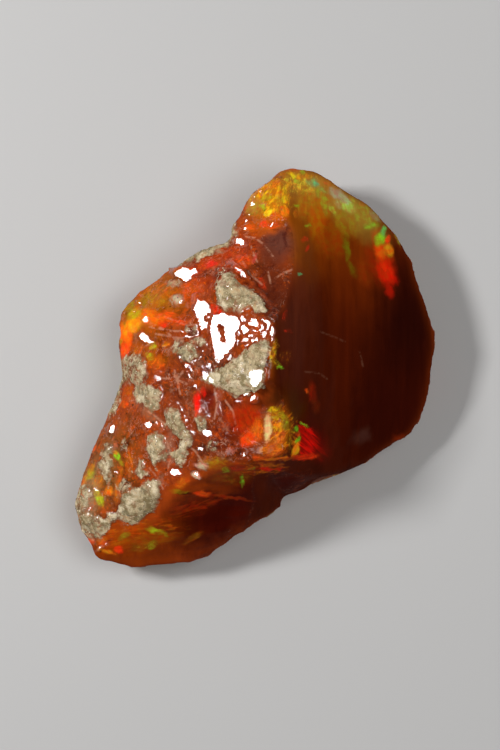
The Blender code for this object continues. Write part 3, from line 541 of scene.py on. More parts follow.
# Where the skin is smooth and clear: centre, half length, half width, turn and softness of edge.
CALM_ZONES = {
    "mauve facet": ((3.2, 16.8), 3.36, 2.8, 70, 0.35),
    "mauve slope": ((2.4, 11.7), 3.64, 1.68, -75, 0.4),
    "brick face": ((-1.7, -6.4), 2.1, 2.38, 0, 0.4),
    "upper hearth": ((1.0, -4.8), 2.24, 0.84, 0, 0.4),
    "dark lens": ((-6.4, -4.5), 2.24, 1.82, 75, 0.4),
}

# Gaps in the large wet planes: their corners.
GAPS = {
    "great sheet gap": ((-7.1, 6.8), (-6.8, 7.7), (-6.3, 7.9), (-6.5, 7)),
    "great sheet eye": ((-4.9, 6), (-4.6, 6.1), (-4.4, 5.3), (-4.5, 4.4), (-4.7, 4), (-4.8, 4.9)),
}

# Small wet planes in their groups: centre, half length, half width and turn.
GLINTS = {
    "shoulder and cheek": (
        ((-15.3, 7.1), 0.56, 0.63, 0), ((-15.3, 4.4), 1.12, 0.56, -35),
        ((-16.2, 9.3), 0.56, 0.25, -45),
    ),
    "notch": (
        ((-2.0, 17.9), 0.84, 0.63, -10),
    ),
    "chain": (
        ((-0.4, 12.0), 0.45, 0.39, 0), ((0.6, 10.9), 0.48, 0.34, -50),
        ((-4.7, 14.0), 0.45, 0.36, 0),
    ),
    "ridge": (
        ((1.3, 10.1), 0.42, 0.32, -55), ((2.0, 9.3), 0.42, 0.31, -50), ((2.5, 8.3), 0.34, 0.34, 0),
    ),
    "cluster": (
        ((-2.0, 7.0), 0.7, 0.5, 30), ((-1.1, 7.4), 0.43, 0.38, 0), ((-0.4, 6.5), 0.81, 0.62, -30),
        ((-1.4, 5.8), 0.7, 0.73, 0), ((-2.3, 5.4), 0.66, 0.46, 20), ((-2.9, 4.6), 0.46, 0.35, 0),
        ((0.4, 5.8), 0.9, 0.66, 10), ((1.4, 6.4), 0.73, 0.7, 0), ((2.2, 7.0), 0.5, 0.59, 0),
        ((2.7, 7.4), 0.38, 0.38, 0), ((1.3, 5.1), 0.5, 0.38, 0), ((2.4, 5.4), 0.36, 0.62, 0),
        ((-0.6, 5.0), 0.5, 0.46, 0), ((-1.3, 4.2), 0.59, 0.32, 10), ((-0.1, 4.1), 0.62, 0.34, -10),
        ((0.6, 7.3), 0.35, 0.35, 0), ((-1.1, 3.5), 0.38, 0.27, 0),
    ),
    "lobe edge": (
        ((3.2, 26.6), 0.36, 0.31, 35), ((1.5, 25.6), 0.36, 0.31, 30), ((0.7, 24.9), 0.34, 0.31, 0),
        ((-0.1, 24.2), 0.34, 0.39, 0), ((-0.3, 23.2), 0.39, 0.36, 0), ((-0.8, 21.8), 0.34, 0.34, 0),
        ((-1.3, 20.8), 0.31, 0.34, 0), ((-1.5, 19.8), 0.34, 0.34, 0),
    ),
    "rim": (
        ((-16.9, 8.2), 0.25, 0.22, 0), ((-18.6, -2.7), 0.22, 0.34, 0),
        ((-21.4, -12.0), 0.22, 0.34, 0),
    ),
    "wedge": (
        ((-3.9, 2.1), 0.56, 0.42, 0), ((-7.0, -1.0), 0.56, 0.56, 0),
        ((-6.2, -1.5), 0.63, 0.49, -20), ((-1.1, -3.4), 0.56, 0.42, -20),
        ((-0.3, -4.0), 0.84, 0.62, -30),
    ),
    "crest and waist": (
        ((1.3, -5.4), 0.42, 0.42, 0), ((-15.1, -7.7), 0.7, 0.49, 15),
    ),
    "left edge": (
        ((-20.0, -8.3), 0.7, 0.56, 40), ((-20.6, -9.3), 0.36, 0.36, 0),
    ),
    "lower skin": (
        ((-6.7, -8.9), 0.7, 0.7, -30), ((-7.6, -11.0), 0.42, 0.59, 0),
        ((-11.1, -14.4), 0.77, 0.56, 0),
    ),
    "small": (
        ((-9.5, 0.5), 0.49, 0.28, -40), ((-10.4, 1.8), 0.28, 0.28, 0),
        ((-2.8, -8.4), 0.34, 0.42, 0), ((-8.9, 0.0), 0.34, 0.31, 0), ((-9.2, -1.0), 0.31, 0.31, 0),
        ((-8.5, -2.3), 0.34, 0.31, 0), ((-1.5, -12.0), 0.7, 0.31, -30),
    ),
    "tail": (
        ((-19.5, -14.4), 0.48, 0.28, -20), ((-8.1, -14.8), 0.84, 0.36, -40),
        ((-21.1, -24.6), 0.98, 0.2, 38),
    ),
}

# Pale scratches and bruises: the points along each, in the plan.
SCRATCHES = {
    "mauve scratch": ((-1.3, 18.6), (0.1, 18.4), (1, 17.7), (1.8, 16.8), (2.5, 15.9)),
    "mauve scratch low": ((-0.6, 17.3), (-0.2, 16.2), (0.3, 15.1)),
    "slope scratch": ((2.8, 12.7), (3.6, 13.4), (5.2, 14)),
    "slope scratch small": ((1.8, 13.7), (2.2, 12.1)),
    "waist scratch": ((-13.7, -1.2), (-11.8, -1.2), (-10.8, -0.6)),
    "waist scratch long": ((-11.3, -0.1), (-10.9, -1.7), (-10.5, -3.4)),
    "tail scratch": ((-15.5, -5.5), (-14.1, -6.4), (-12.7, -7.6)),
    "face scratch": ((9.2, 5.3), (11.5, 4.4), (12.6, 3.9)),
    "face scratch low": ((7, -0.3), (9, -0.5), (10.1, -1.3)),
    "face scratch right": ((14.6, 2.5), (15.1, 0.5)),
    "cheek scratch": ((-14.7, 6.5), (-12.6, 5.6), (-11.5, 4.4), (-9.9, 3.9)),
    "brick scratch": ((-4.2, -4.3), (-3.1, -5.8), (-2.7, -7.6)),
    # A pale line along the belly's wet edge, drawn in the scratch colour: a painted highlight.
    "belly painted glint line": ((-22.3, -25.5), (-21.4, -24.6), (-19.9, -23.6)),
    "cheek line one": ((-14.8, 6), (-11.6, 5.4), (-8, 5.4)),
    "cheek line two": ((-13.9, 5), (-10.5, 4.4), (-8.8, 4.6)),
    "cheek line three": ((-12.6, 7.4), (-9.4, 6.2), (-6.9, 6.4)),
    "star line": ((-11.8, -2.3), (-10.9, -1.3), (-10.1, -0.2)),
    "star line across": ((-11.5, -0.5), (-10.8, -1.5), (-9.5, -2)),
    "low line one": ((-12.5, -9.6), (-11.8, -12), (-12.2, -13.8)),
    "low line two": ((-14.8, -13.8), (-13.7, -15.2), (-12.9, -16.7)),
    "low line three": ((-5.7, -2.7), (-5.3, -4.8), (-5.7, -6.9)),
    "low line four": ((-10.1, -10), (-8.3, -11.5), (-7.3, -13.1)),
    "neck line": ((-1.7, 15.1), (-0.7, 13.4), (1, 11.9)),
}


# ---------------------------------------------------------------------------------------- fields


def smooth(value):
    """0 below 0, 1 above 1 and an even slope in between."""
    value = np.clip(value, 0, 1)
    return value * value * (3 - 2 * value)


def rise(value, start, span):
    """0 up to the start, and 1 from one span past it."""
    return smooth((value - start) / span)


def fall(value, end, span):
    """1 until one span before the end, and 0 past it."""
    return smooth((end - value) / span)


def noise_at(points, grain, seed, octaves=3):
    """Fractal noise between about -1 and 1 at each point, with lumps of this size."""
    shift = Vector((seed * 7.3, seed * 3.1, seed * 5.7))
    return np.array([noise.fractal(Vector(p) + shift, 1.0, 2.0, octaves) for p in points / grain])


def plan_of(points):
    """Where each point lies in the plan."""
    eye = np.array(EYE[:2])
    share = (EYE[2] - PLAN_LEVEL) / (EYE[2] - points[:, 2])
    return eye + (points[:, :2] - eye) * share[:, None]


def drifted(plan, points, amount, grain, seed, octaves=3):
    """Plan places moved a little by noise, which gives what is laid out on them a natural edge."""
    right = noise_at(points, grain, seed, octaves)
    up = noise_at(points, grain, seed + 1, octaves)
    return plan + amount * np.stack((right, up), axis=1)


def turned(plan, centre, turn):
    """Plan places counted from a centre, along and across a direction."""
    cos = math.cos(math.radians(turn))
    sin = math.sin(math.radians(turn))
    dx = plan[:, 0] - centre[0]
    dy = plan[:, 1] - centre[1]
    return dx * cos + dy * sin, dy * cos - dx * sin


def reach(plan, centre, half_length, half_width, turn):
    """How far out of an oval each point is: 0 in its middle and 1 on its edge."""
    along, across = turned(plan, centre, turn)
    return np.hypot(along / half_length, across / half_width)


def oval_share(plan, centre, half_length, half_width, turn, edge):
    """1 in an oval and 0 outside it, with a soft edge that takes this share of its size."""
    return fall(reach(plan, centre, half_length, half_width, turn), 1 + edge, 2 * edge)


def distance_to_line(plan, start, end):
    """How far each plan place is from a straight line between two corners."""
    start = np.array(start)
    run = np.array(end) - start
    share = np.clip((plan - start) @ run / (run @ run), 0, 1)
    return np.linalg.norm(plan - start - share[:, None] * run, axis=1)


def depth_inside(plan, corners):
    """How far inside a shape of straight sides each point is, negative outside."""
    inside = np.zeros(len(plan), dtype=bool)
    nearest = np.full(len(plan), np.inf)
    for start, end in zip(corners, corners[1:] + corners[:1]):
        nearest = np.minimum(nearest, distance_to_line(plan, start, end))
        if start[1] != end[1]:
            crosses = (plan[:, 1] < start[1]) != (plan[:, 1] < end[1])
            side = start[0] + (plan[:, 1] - start[1]) * (end[0] - start[0]) / (end[1] - start[1])
            inside ^= crosses & (plan[:, 0] < side)
    return np.where(inside, nearest, -nearest)


# ---------------------------------------------------------------------------------------- mesh


def merged_copy(node, name):
    """A copy of a frame node with its loose triangles joined."""
    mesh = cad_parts[node].data.copy()
    bm = bmesh.new()
    bm.from_mesh(mesh)
    bmesh.ops.remove_doubles(bm, verts=bm.verts, dist=1e-6)
    bm.to_mesh(mesh)
    bm.free()
    made = bpy.data.objects.new(name, mesh)
    bpy.context.scene.collection.objects.link(made)
    return made


def apply_modifiers(obj):
    """Turn what the modifiers show into the object's own plain mesh."""
    graph = bpy.context.evaluated_depsgraph_get()
    mesh = bpy.data.meshes.new_from_object(obj.evaluated_get(graph))
    obj.modifiers.clear()
    obj.data = mesh


def points_of(mesh):
    points = np.empty(len(mesh.vertices) * 3)
    mesh.vertices.foreach_get("co", points)
    return points.reshape(-1, 3) / MM


def set_points(mesh, points):
    mesh.vertices.foreach_set("co", (points * MM).ravel())
    mesh.update()


def normals_of(mesh):
    normals = np.empty(len(mesh.vertices) * 3)
    mesh.vertex_normals.foreach_get("vector", normals)
    return normals.reshape(-1, 3)


class Neighbours:
    """Means over the points that share an edge with each point of a mesh."""

    def __init__(self, mesh):
        edges = np.empty(len(mesh.edges) * 2, dtype=np.int64)
        mesh.edges.foreach_get("vertices", edges)
        edges = edges.reshape(-1, 2)
        self.near = np.concatenate((edges[:, 0], edges[:, 1]))
        self.far = np.concatenate((edges[:, 1], edges[:, 0]))
        self.count = np.bincount(self.near, minlength=len(mesh.vertices))

    def mean(self, values):
        if values.ndim > 1:
            return np.stack([self.mean(column) for column in values.T], axis=1)
        return np.bincount(self.near, values[self.far], len(self.count)) / self.count

    def blurred(self, values, steps):
        for _ in range(steps):
            values = 0.5 * values + 0.5 * self.mean(values)
        return values


def unit(vectors):
    return vectors / np.maximum(np.linalg.norm(vectors, axis=1), 1e-9)[:, None]


def bend_of(normals, around):
    """How strongly the surface bends at each point: 0 where it is flat."""
    return 1 - np.linalg.norm(around.blurred(normals, 3), axis=1)


def regions(normals, around):
    """Which part of the stone each point belongs to, from the way its neighbourhood faces."""
    broad = unit(around.blurred(normals, 16))
    up = rise(broad[:, 2], *FACING_UP)
    face = rise(broad[:, 0], *FACING_RIGHT) * up
    under = rise(-broad[:, 1], *FACING_DOWN) * up * (1 - face)
    skin = up * (1 - face) * (1 - under)
    return {"up": up, "face": face, "under": under, "skin": skin, "flank": 1 - up}


def smoothed_points(mesh, around):
    """Round off the frame's flat triangles, but keep its ridges."""
    points = points_of(mesh)
    resting = points[:, 2] < 0.01
    low, high = RIDGE_BEND
    for _ in range(2):
        bend = bend_of(normals_of(mesh), around)
        ridge = around.blurred(rise(bend, low, high - low), 2)
        share = (ROUNDING * (1 - RIDGE_KEPT * ridge))[:, None]
        for _ in range(SMOOTHING_STEPS):
            points += share * (around.mean(points) - points)
            points[resting, 2] = 0
        set_points(mesh, points)


def crust_depth(plan, points):
    """How far inside a crust each point of the upper side is, and how much that crust covers."""
    places = drifted(plan, points, EDGE_WANDER, EDGE_GRAIN, 8, octaves=4)
    depth = np.full(len(plan), -FAR)
    cover = np.ones(len(plan))
    for share, corners in CRUSTS.values():
        here = depth_inside(places, corners)
        cover = np.where(here > depth, share, cover)
        depth = np.maximum(depth, here)
    return depth, cover


def flank_crust_depth(points):
    """The same for the sides and the back, where the crusts lie in patches."""
    patches = CRUST_PATCHES * noise_at(points, 4.5, 19) - PATCH_THRESHOLD
    return patches + 0.2 * noise_at(points, 1.3, 10)


def wet_planes(points, normals, plan, where):
    """Where the small wet planes are, and how far each point moves to lie in one."""
    places = drifted(plan, points, EDGE_WANDER, EDGE_GRAIN, 41)
    total = np.zeros(len(points))
    move = np.zeros(len(points))
    eye = np.array(EYE)
    lamp = np.array(LAMP)
    hidden = where["up"] < 0.5

    def lay(centre, share, limit):
        """Tilt the skin in one plane, so that it faces half way between the lamp and the eye."""
        nearest = (reach(plan, centre, 1, 1, 0) + FAR * hidden).argmin()
        middle = points[nearest]
        facing = unit(np.stack((eye - middle, lamp - middle))).sum(axis=0)
        facing /= np.linalg.norm(facing)
        lean = np.maximum(normals @ facing, LEAST_LEAN)
        step = np.clip(-((points - middle) @ facing) / lean, -limit, limit)
        move[:] += np.maximum(share - total, 0) * step
        total[:] = np.maximum(total, share)

    gaps = np.full(len(points), -FAR)
    for corners in GAPS.values():
        gaps = np.maximum(gaps, depth_inside(places, corners))
    closed = 1 - rise(gaps, -0.06, 0.20)
    for limit, corners in WET_SHEETS.values():
        share = rise(depth_inside(places, corners), -SHEET_EDGE, SHEET_EDGE) * where["up"] * closed
        lay(np.mean(corners, axis=0), share, limit)
    for group in GLINTS.values():
        for centre, half_length, half_width, turn in group:
            outside = reach(places, centre, half_length, half_width, turn)
            share = fall(outside, 1.35, 0.4) * where["up"]
            lay(centre, share, min(GLINT_STEP, GLINT_STEP * max(half_length, half_width)))
    return total, move


def calm_share(plan):
    """How smooth and clear the skin is at each point."""
    calm = np.zeros(len(plan))
    for zone in CALM_ZONES.values():
        calm = np.maximum(calm, oval_share(plan, *zone))
    return calm


def relief(points, where, crust, bend, wet, calm):
    """How far each point stands out from the smooth stone, in millimetres."""
    crusted = rise(crust, -0.20, 0.45)
    rock = crusted * (1 - 0.85 * wet)
    lift = CRUST_THICKNESS * rock
    lift += CRUST_CRUMBS * rock * noise_at(points, 0.7, 11, 2)
    lift += CRUST_LUMPS * rock * noise_at(points, 2.0, 44)
    lift -= CRUST_PITS * rock * rise(noise_at(points, 1.5, 20), 0.25, 0.3)
    bare = where["skin"] * (1 - crusted)
    skin_lift = SKIN_WAVES * noise_at(points, 3.2, 12)
    skin_lift -= SKIN_CREASES * np.abs(noise_at(points, 1.7, 13))
    skin_lift += SKIN_GRAIN * noise_at(points, 0.8, 43, 2)
    lift += bare * skin_lift * (1 - 0.82 * wet) * (1 - 0.8 * calm)
    lift += FACE_FIBRES * where["face"] * noise_at(points * (1.0, 0.12, 0.5), 1.5, 14)
    lift += UNDER_FIBRES * where["under"] * noise_at(points * (0.4, 1.0, 1.0), 1.6, 15)
    lift += FLANK_WAVES * where["flank"] * noise_at(points, 3.0, 16)
    lift -= FLANK_CREASES * where["flank"] * np.abs(noise_at(points, 1.3, 17))
    lift += RIDGE_CHIPS * rise(bend, 0, 0.08) * noise_at(points, 1.1, 18) * (1 - wet)
    return lift * rise(points[:, 2], 0, FOOT_HEIGHT)


def zone_colours(plan, where, points, around):
    """The body colour of each point, from the zones laid over each other."""
    places = drifted(plan, points, 0.7, 2.2, 21)

    def layered(base, zones):
        colour = np.tile(np.array(base), (len(plan), 1))
        for *oval, tint, strength in zones.values():
            share = strength * oval_share(places, *oval)
            colour += share[:, None] * (np.array(tint) - colour)
        return colour

    skin = layered(SKIN_COLOUR, BODY_ZONES)
    face = layered(FACE_COLOUR, FACE_ZONES)
    flank = np.tile(np.array(FLANK_COLOUR), (len(plan), 1))
    flank *= (1 + 0.45 * noise_at(points, 5.0, 23))[:, None]
    flank[:, 1] *= 1 + 0.5 * noise_at(points, 6.0, 24)
    colour = skin + around.blurred(where["face"], 60)[:, None] * (face - skin)
    colour += where["flank"][:, None] * (flank - colour)
    return np.clip(colour, 0.001, 1)


def flash_values(plan, where, points):
    """The tint, cover and softness of the play of colour, and the place of its strokes."""
    size = len(plan)
    places = drifted(plan, points, 0.25, 1.0, 31)
    tint = np.zeros((size, 3))
    weight = np.full(size, 1e-6)
    best = np.zeros(size)
    cover = np.zeros(size)
    softness = np.zeros(size)
    grain = points.copy()
    for *oval, colour, share, lie, stretch, soft in FLASHES.values():
        half_length, half_width = oval[1:3]
        inside = fall(reach(places, *oval), 1.5, 1.0)
        pull = inside**2 / (half_length * half_width)
        tint += pull[:, None] * np.array(colour)
        weight += pull
        softness += pull * soft
        cover = np.maximum(cover, inside * share)
        along, across = turned(plan, (0, 0), lie)
        here = inside > best
        grain[here] = np.stack((along / stretch, across, points[:, 2] / stretch), axis=1)[here]
        best = np.maximum(best, inside)
    tint /= weight[:, None]
    return tint, cover * where["up"], softness / weight, grain


def flank_flashes(points, where, tint, cover):
    """Add patches of play of colour on the sides and the back."""
    patches = noise_at(points, 3.4, 33) + 0.9 * noise_at(points, 11.0, 35)
    flank_cover = where["flank"] * rise(patches, 0.08, 0.45) * FLANK_FLASH_COVER
    drift = 0.6 * noise_at(points, 2.4, 34) + 0.7 * noise_at(points, 9.0, 36)
    ember, gold, leaf = np.array(FLANK_FLASHES)
    flank_tint = ember + rise(drift, -0.35, 0.5)[:, None] * (gold - ember)
    flank_tint += rise(drift, 0.25, 0.25)[:, None] * (leaf - flank_tint)
    tint = np.where((flank_cover > cover)[:, None], flank_tint, tint)
    return tint, np.maximum(cover, flank_cover)


def scratch_distance(plan, where):
    """How far each point is from the nearest scratch, in millimetres."""
    distance = np.full(len(plan), 2.0)
    for corners in SCRATCHES.values():
        for start, end in zip(corners, corners[1:]):
            distance = np.minimum(distance, distance_to_line(plan, start, end))
    return distance + 2 * (1 - where["up"])


def skin_shine(mesh, where, calm, wet, around):
    """How much of the clear wet film each point has."""
    level = rise(around.blurred(normals_of(mesh), 1)[:, 2], 0.72, 0.16)
    shine = SKIN_SHINE * level * rise(where["skin"], 0.6, 0.35) * (1 - 0.92 * calm)
    shine = np.maximum(shine, FLANK_SHINE * where["flank"])
    return LEAST_SHINE + np.maximum(shine, PLANE_SHINE * wet)


def store(mesh, name, kind, values):
    """Keep one value for each point under a name that materials and node trees can read."""
    made = mesh.attributes.new(name, kind, "POINT")
    field = {"FLOAT": "value", "FLOAT_VECTOR": "vector", "FLOAT_COLOR": "color"}[kind]
    made.data.foreach_set(field, np.ascontiguousarray(values, dtype=np.float32).ravel())


def fine_mesh():
    """The frame's stone as a fine mesh, rounded between its ridges and lighter on its sides."""
    stone = merged_copy("opal", "opal_stone")
    fine = stone.modifiers.new("fine", "REMESH")
    fine.mode = "VOXEL"
    fine.voxel_size = VOXEL * MM
    apply_modifiers(stone)
    around = Neighbours(stone.data)
    smoothed_points(stone.data, around)
    upper = regions(normals_of(stone.data), around)["up"] > 0.3
    sides = stone.vertex_groups.new(name="sides and back")
    sides.add(np.nonzero(~upper)[0].tolist(), 1.0, "REPLACE")
    thin = stone.modifiers.new("thin", "DECIMATE")
    thin.ratio = TRIANGLES / (2 * len(stone.data.polygons))
    thin.vertex_group = sides.name
    apply_modifiers(stone)
    return stone


def make_stone():
    """The stone with its relief, and its colours and finishes kept as values on its points."""
    stone = fine_mesh()
    mesh = stone.data
    around = Neighbours(mesh)
    points = points_of(mesh)
    normals = normals_of(mesh)
    bend = bend_of(normals, around)
    where = regions(normals, around)
    plan = plan_of(points)
    crust, crust_cover = crust_depth(plan, points)
    crust = np.where(where["up"] > 0.5, crust, flank_crust_depth(points))
    crust = np.where(where["face"] > 0.5, -1, crust)
    wet, move = wet_planes(points, normals, plan, where)
    calm = calm_share(plan)
    lift = move + relief(points, where, crust, bend, wet, calm)
    points += unit(around.blurred(normals, 2)) * lift[:, None]
    points[:, 2] = np.maximum(points[:, 2], 0)
    set_points(mesh, points)
    mesh.shade_smooth()

    tint, cover, softness, grain = flash_values(plan, where, points)
    tint, cover = flank_flashes(points, where, tint, cover)
    body = zone_colours(plan, where, points, around)
    ones = np.ones((len(points), 1))
    store(mesh, "body_colour", "FLOAT_COLOR", np.hstack((body, ones)))
    store(mesh, "flash_tint", "FLOAT_COLOR", np.hstack((tint, ones)))
    store(mesh, "flash_grain", "FLOAT_VECTOR", grain)
    values = {
        "flash_cover": cover,
        "flash_softness": softness,
        "crust": np.clip(crust, -1, 1),
        "crust_cover": around.blurred(crust_cover, 4),
        "shine": skin_shine(mesh, where, calm, wet, around),
        "wet": wet,
        "skin": where["skin"],
        "grainy": where["skin"] * (1 - 0.9 * calm),
        "face": np.maximum(where["face"], where["under"]),
        "scratch": scratch_distance(plan, where),
    }
    for name, value in values.items():
        store(mesh, name, "FLOAT", value)
    return stone


# ---------------------------------------------------------------------------------------- materials


class Shader:
    """Short calls that add nodes to one material."""

    def __init__(self, name):
        self.material = bpy.data.materials.new(name)
        self.material.use_nodes = True
        self.nodes = self.material.node_tree.nodes
        self.links = self.material.node_tree.links
        self.surface = self.nodes["Principled BSDF"]
        self.output = self.nodes["Material Output"]

    def add(self, kind, inputs=None, **settings):
        node = self.nodes.new(kind)
        for key, value in settings.items():
            setattr(node, key, value)
        self.fill(node, inputs or {})
        return node

    def fill(self, node, inputs):
        for key, value in inputs.items():
            self.put(node.inputs[key], value)

    def put(self, socket, value):
        if isinstance(value, bpy.types.NodeSocket):
            self.links.new(value, socket)
        elif isinstance(value, tuple) and len(value) == 3 and socket.type == "RGBA":
            socket.default_value = (*value, 1)
        else:
            socket.default_value = value

    def attribute(self, name, output="Fac"):
        return self.add("ShaderNodeAttribute", attribute_name=name).outputs[output]

    def maths(self, operation, a, b=0.0):
        return self.add("ShaderNodeMath", {0: a, 1: b}, operation=operation).outputs[0]

    def times(self, a, b):
        return self.maths("MULTIPLY", a, b)

    def plus(self, a, b):
        return self.maths("ADD", a, b)

    def minus(self, a, b):
        return self.maths("SUBTRACT", a, b)

    def ramp(self, value, low, high, start=0.0, end=1.0):
        """A smooth change from one value to another between two levels."""
        inputs = {
            "Value": value, "From Min": low, "From Max": high, "To Min": start, "To Max": end,
        }
        made = self.add("ShaderNodeMapRange", inputs, interpolation_type="SMOOTHSTEP")
        return made.outputs["Result"]

    def mix(self, share, a, b, blend="MIX"):
        made = self.add("ShaderNodeMix", {0: share, 6: a, 7: b}, data_type="RGBA", blend_type=blend)
        return made.outputs[2]

    def tinted(self, share, colour, filter_colour):
        """The colour seen through a filter over this share of it."""
        return self.mix(share, colour, filter_colour, "MULTIPLY")

    def noise(self, place, per_mm, detail=3.0, rough=0.55, twist=0.0):
        inputs = {
            "Vector": place, "Scale": per_mm, "Detail": detail, "Roughness": rough,
            "Distortion": twist,
        }
        return self.add("ShaderNodeTexNoise", inputs).outputs["Fac"]

    def cells(self, place, per_mm, output):
        made = self.add("ShaderNodeTexVoronoi", {"Vector": place, "Scale": per_mm})
        return made.outputs[output]

    def scaled(self, place, scale):
        return self.add("ShaderNodeMapping", {"Vector": place, "Scale": scale}).outputs[0]

    def vector(self, operation, a, b):
        return self.add("ShaderNodeVectorMath", {0: a, 1: b}, operation=operation).outputs[0]

    def place(self):
        """The place on the piece in millimetres."""
        coordinates = self.add("ShaderNodeTexCoord").outputs["Object"]
        return self.scaled(coordinates, (1 / MM, 1 / MM, 1 / MM))

    def patches(self, place, pattern, levels):
        """Soft patches of noise: none up to the first level and full from the second."""
        return self.ramp(self.noise(place, *pattern), *levels)


def body_paint(made, place, face):
    """The clear body with its mottles, streaks, sparks, veins and pale scratches."""
    grainy = made.attribute("grainy")
    body = made.attribute("body_colour", "Color")
    areas = {
        "rough parts": (place, made.minus(1.0, face)),
        "skin": (place, grainy),
        "face": (made.scaled(place, FIBRE_SCALE), face),
    }
    for area, pattern, levels, strength, colour, blend in BODY_LAYERS.values():
        spot, share = areas[area]
        layer = made.times(made.patches(spot, pattern, levels), share)
        body = made.mix(made.times(layer, strength), body, colour, blend)
    contour = made.noise(place, 0.7, 4.0, 0.55, 0.6)
    contour = made.maths("ABSOLUTE", made.minus(contour, 0.5))
    vein = made.times(made.ramp(contour, 0.014, 0.003), made.patches(place, (0.5,), (0.48, 0.60)))
    vein = made.times(vein, grainy)
    body = made.mix(made.times(vein, 0.55), body, VEIN_COLOUR)
    pit = made.ramp(made.cells(place, 0.62, "Distance"), 0.16, 0.08)
    pit = made.times(made.times(pit, grainy), made.patches(place, (0.5,), (0.46, 0.54)))
    body = made.mix(made.times(pit, 0.80), body, PIT_COLOUR)
    broken = made.patches(place, (1.1, 3.0, 0.6), (0.36, 0.52))
    broken = made.times(broken, made.ramp(face, 0.0, 1.0, 1.0, 0.20))
    scratch = made.times(made.ramp(made.attribute("scratch"), 0.24, 0.02), broken)
    return made.mix(made.times(scratch, 0.45), body, SCRATCH_COLOUR)


def flash_paint(made, body, place):
    """The play of colour over the body. Gives the colour, the tint and how much of it shows, which
    the material also lets glow as painted light.
    """
    grain = made.attribute("flash_grain", "Vector")
    cover = made.attribute("flash_cover")
    soft = made.attribute("flash_softness")
    wobble = made.add("ShaderNodeTexNoise", {"Vector": grain, "Scale": 1.3, "Detail": 2.0})
    bent = made.vector("MULTIPLY", wobble.outputs["Color"], (0.9, 0.9, 0.9))
    bent = made.vector("ADD", grain, bent)
    cell = made.add("ShaderNodeSeparateColor", {"Color": made.cells(bent, 2.4, "Color")})
    strands = made.patches(bent, (2.2, 4.0, 0.62), (0.30, 0.68))
    chance = made.times(cell.outputs[0], 0.50)
    chance = made.plus(chance, made.times(strands, 0.80))
    dabs = made.ramp(made.plus(chance, cover), 0.85, 1.95)
    dabs = made.times(dabs, made.ramp(cover, 0.02, 0.40))
    fibre = made.ramp(made.noise(bent, 1.0, 4.0, 0.55), 0.25, 0.70, 0.45, 1.0)
    glow = made.times(cover, fibre)
    shown = made.plus(dabs, made.times(soft, made.minus(glow, dabs)))
    drift = made.patches(place, (1.1, 3.0, 0.6), (0.35, 0.65))
    shift = made.mix(drift, WARM_SHIFT, COOL_SHIFT)
    tint = made.tinted(1.0, made.attribute("flash_tint", "Color"), shift)
    halo = made.times(made.ramp(cover, 0.10, 1.0), 0.42)
    colour = made.mix(halo, body, tint)
    return made.mix(made.times(shown, 0.90), colour, tint), tint, shown


def rock_paint(made, place):
    """The khaki crust with its stains and dark specks."""
    blotch = made.patches(place, (0.9, 4.0, 0.66, 0.3), (0.40, 0.60))
    rock = made.mix(blotch, ROCK_DARK, ROCK_PALE)
    for pattern, levels, strength, colour in ROCK_LAYERS.values():
        layer = made.patches(place, pattern, levels)
        rock = made.mix(made.times(layer, strength), rock, colour)
    sand = made.patches(place, (2.8, 2.0, 0.6), (0.36, 0.60))
    rock = made.tinted(made.minus(0.35, made.times(sand, 0.35)), rock, ROCK_SAND)
    speck = made.ramp(made.cells(place, 1.6, "Distance"), 0.16, 0.08)
    speck = made.times(speck, made.patches(place, (1.3,), (0.50, 0.62)))
    return made.mix(made.times(speck, 0.75), rock, ROCK_SPECK)


def crust_shares(made, place):
    """How much crust hides the body, and how much painted shade darkens the body beside it."""
    ragged = made.minus(made.noise(place, 1.1, 3.0, 0.65, 0.3), 0.5)
    edge = made.plus(made.attribute("crust"), made.times(ragged, 1.7))
    soft = made.ramp(made.noise(place, 0.6, 2.0), 0.35, 0.65, 0.25, 0.95)
    crust = made.ramp(made.maths("DIVIDE", made.plus(edge, 0.02), soft), -0.5, 0.5)
    thin = made.ramp(made.noise(place, 1.0, 4.0, 0.65), 0.36, 0.64, -0.25, 0.25)
    thin = made.plus(made.attribute("crust_cover"), thin)
    crust = made.times(crust, made.ramp(thin, 0.35, 0.95))
    # Painted shade: a patchy darkening of the body just outside the edges of the crusts.
    patchy = made.patches(place, (0.45, 3.0), (0.40, 0.60))
    crust_edge_shade = made.times(made.times(made.ramp(edge, -0.5, 0.0), patchy), 0.85)
    return crust, crust_edge_shade


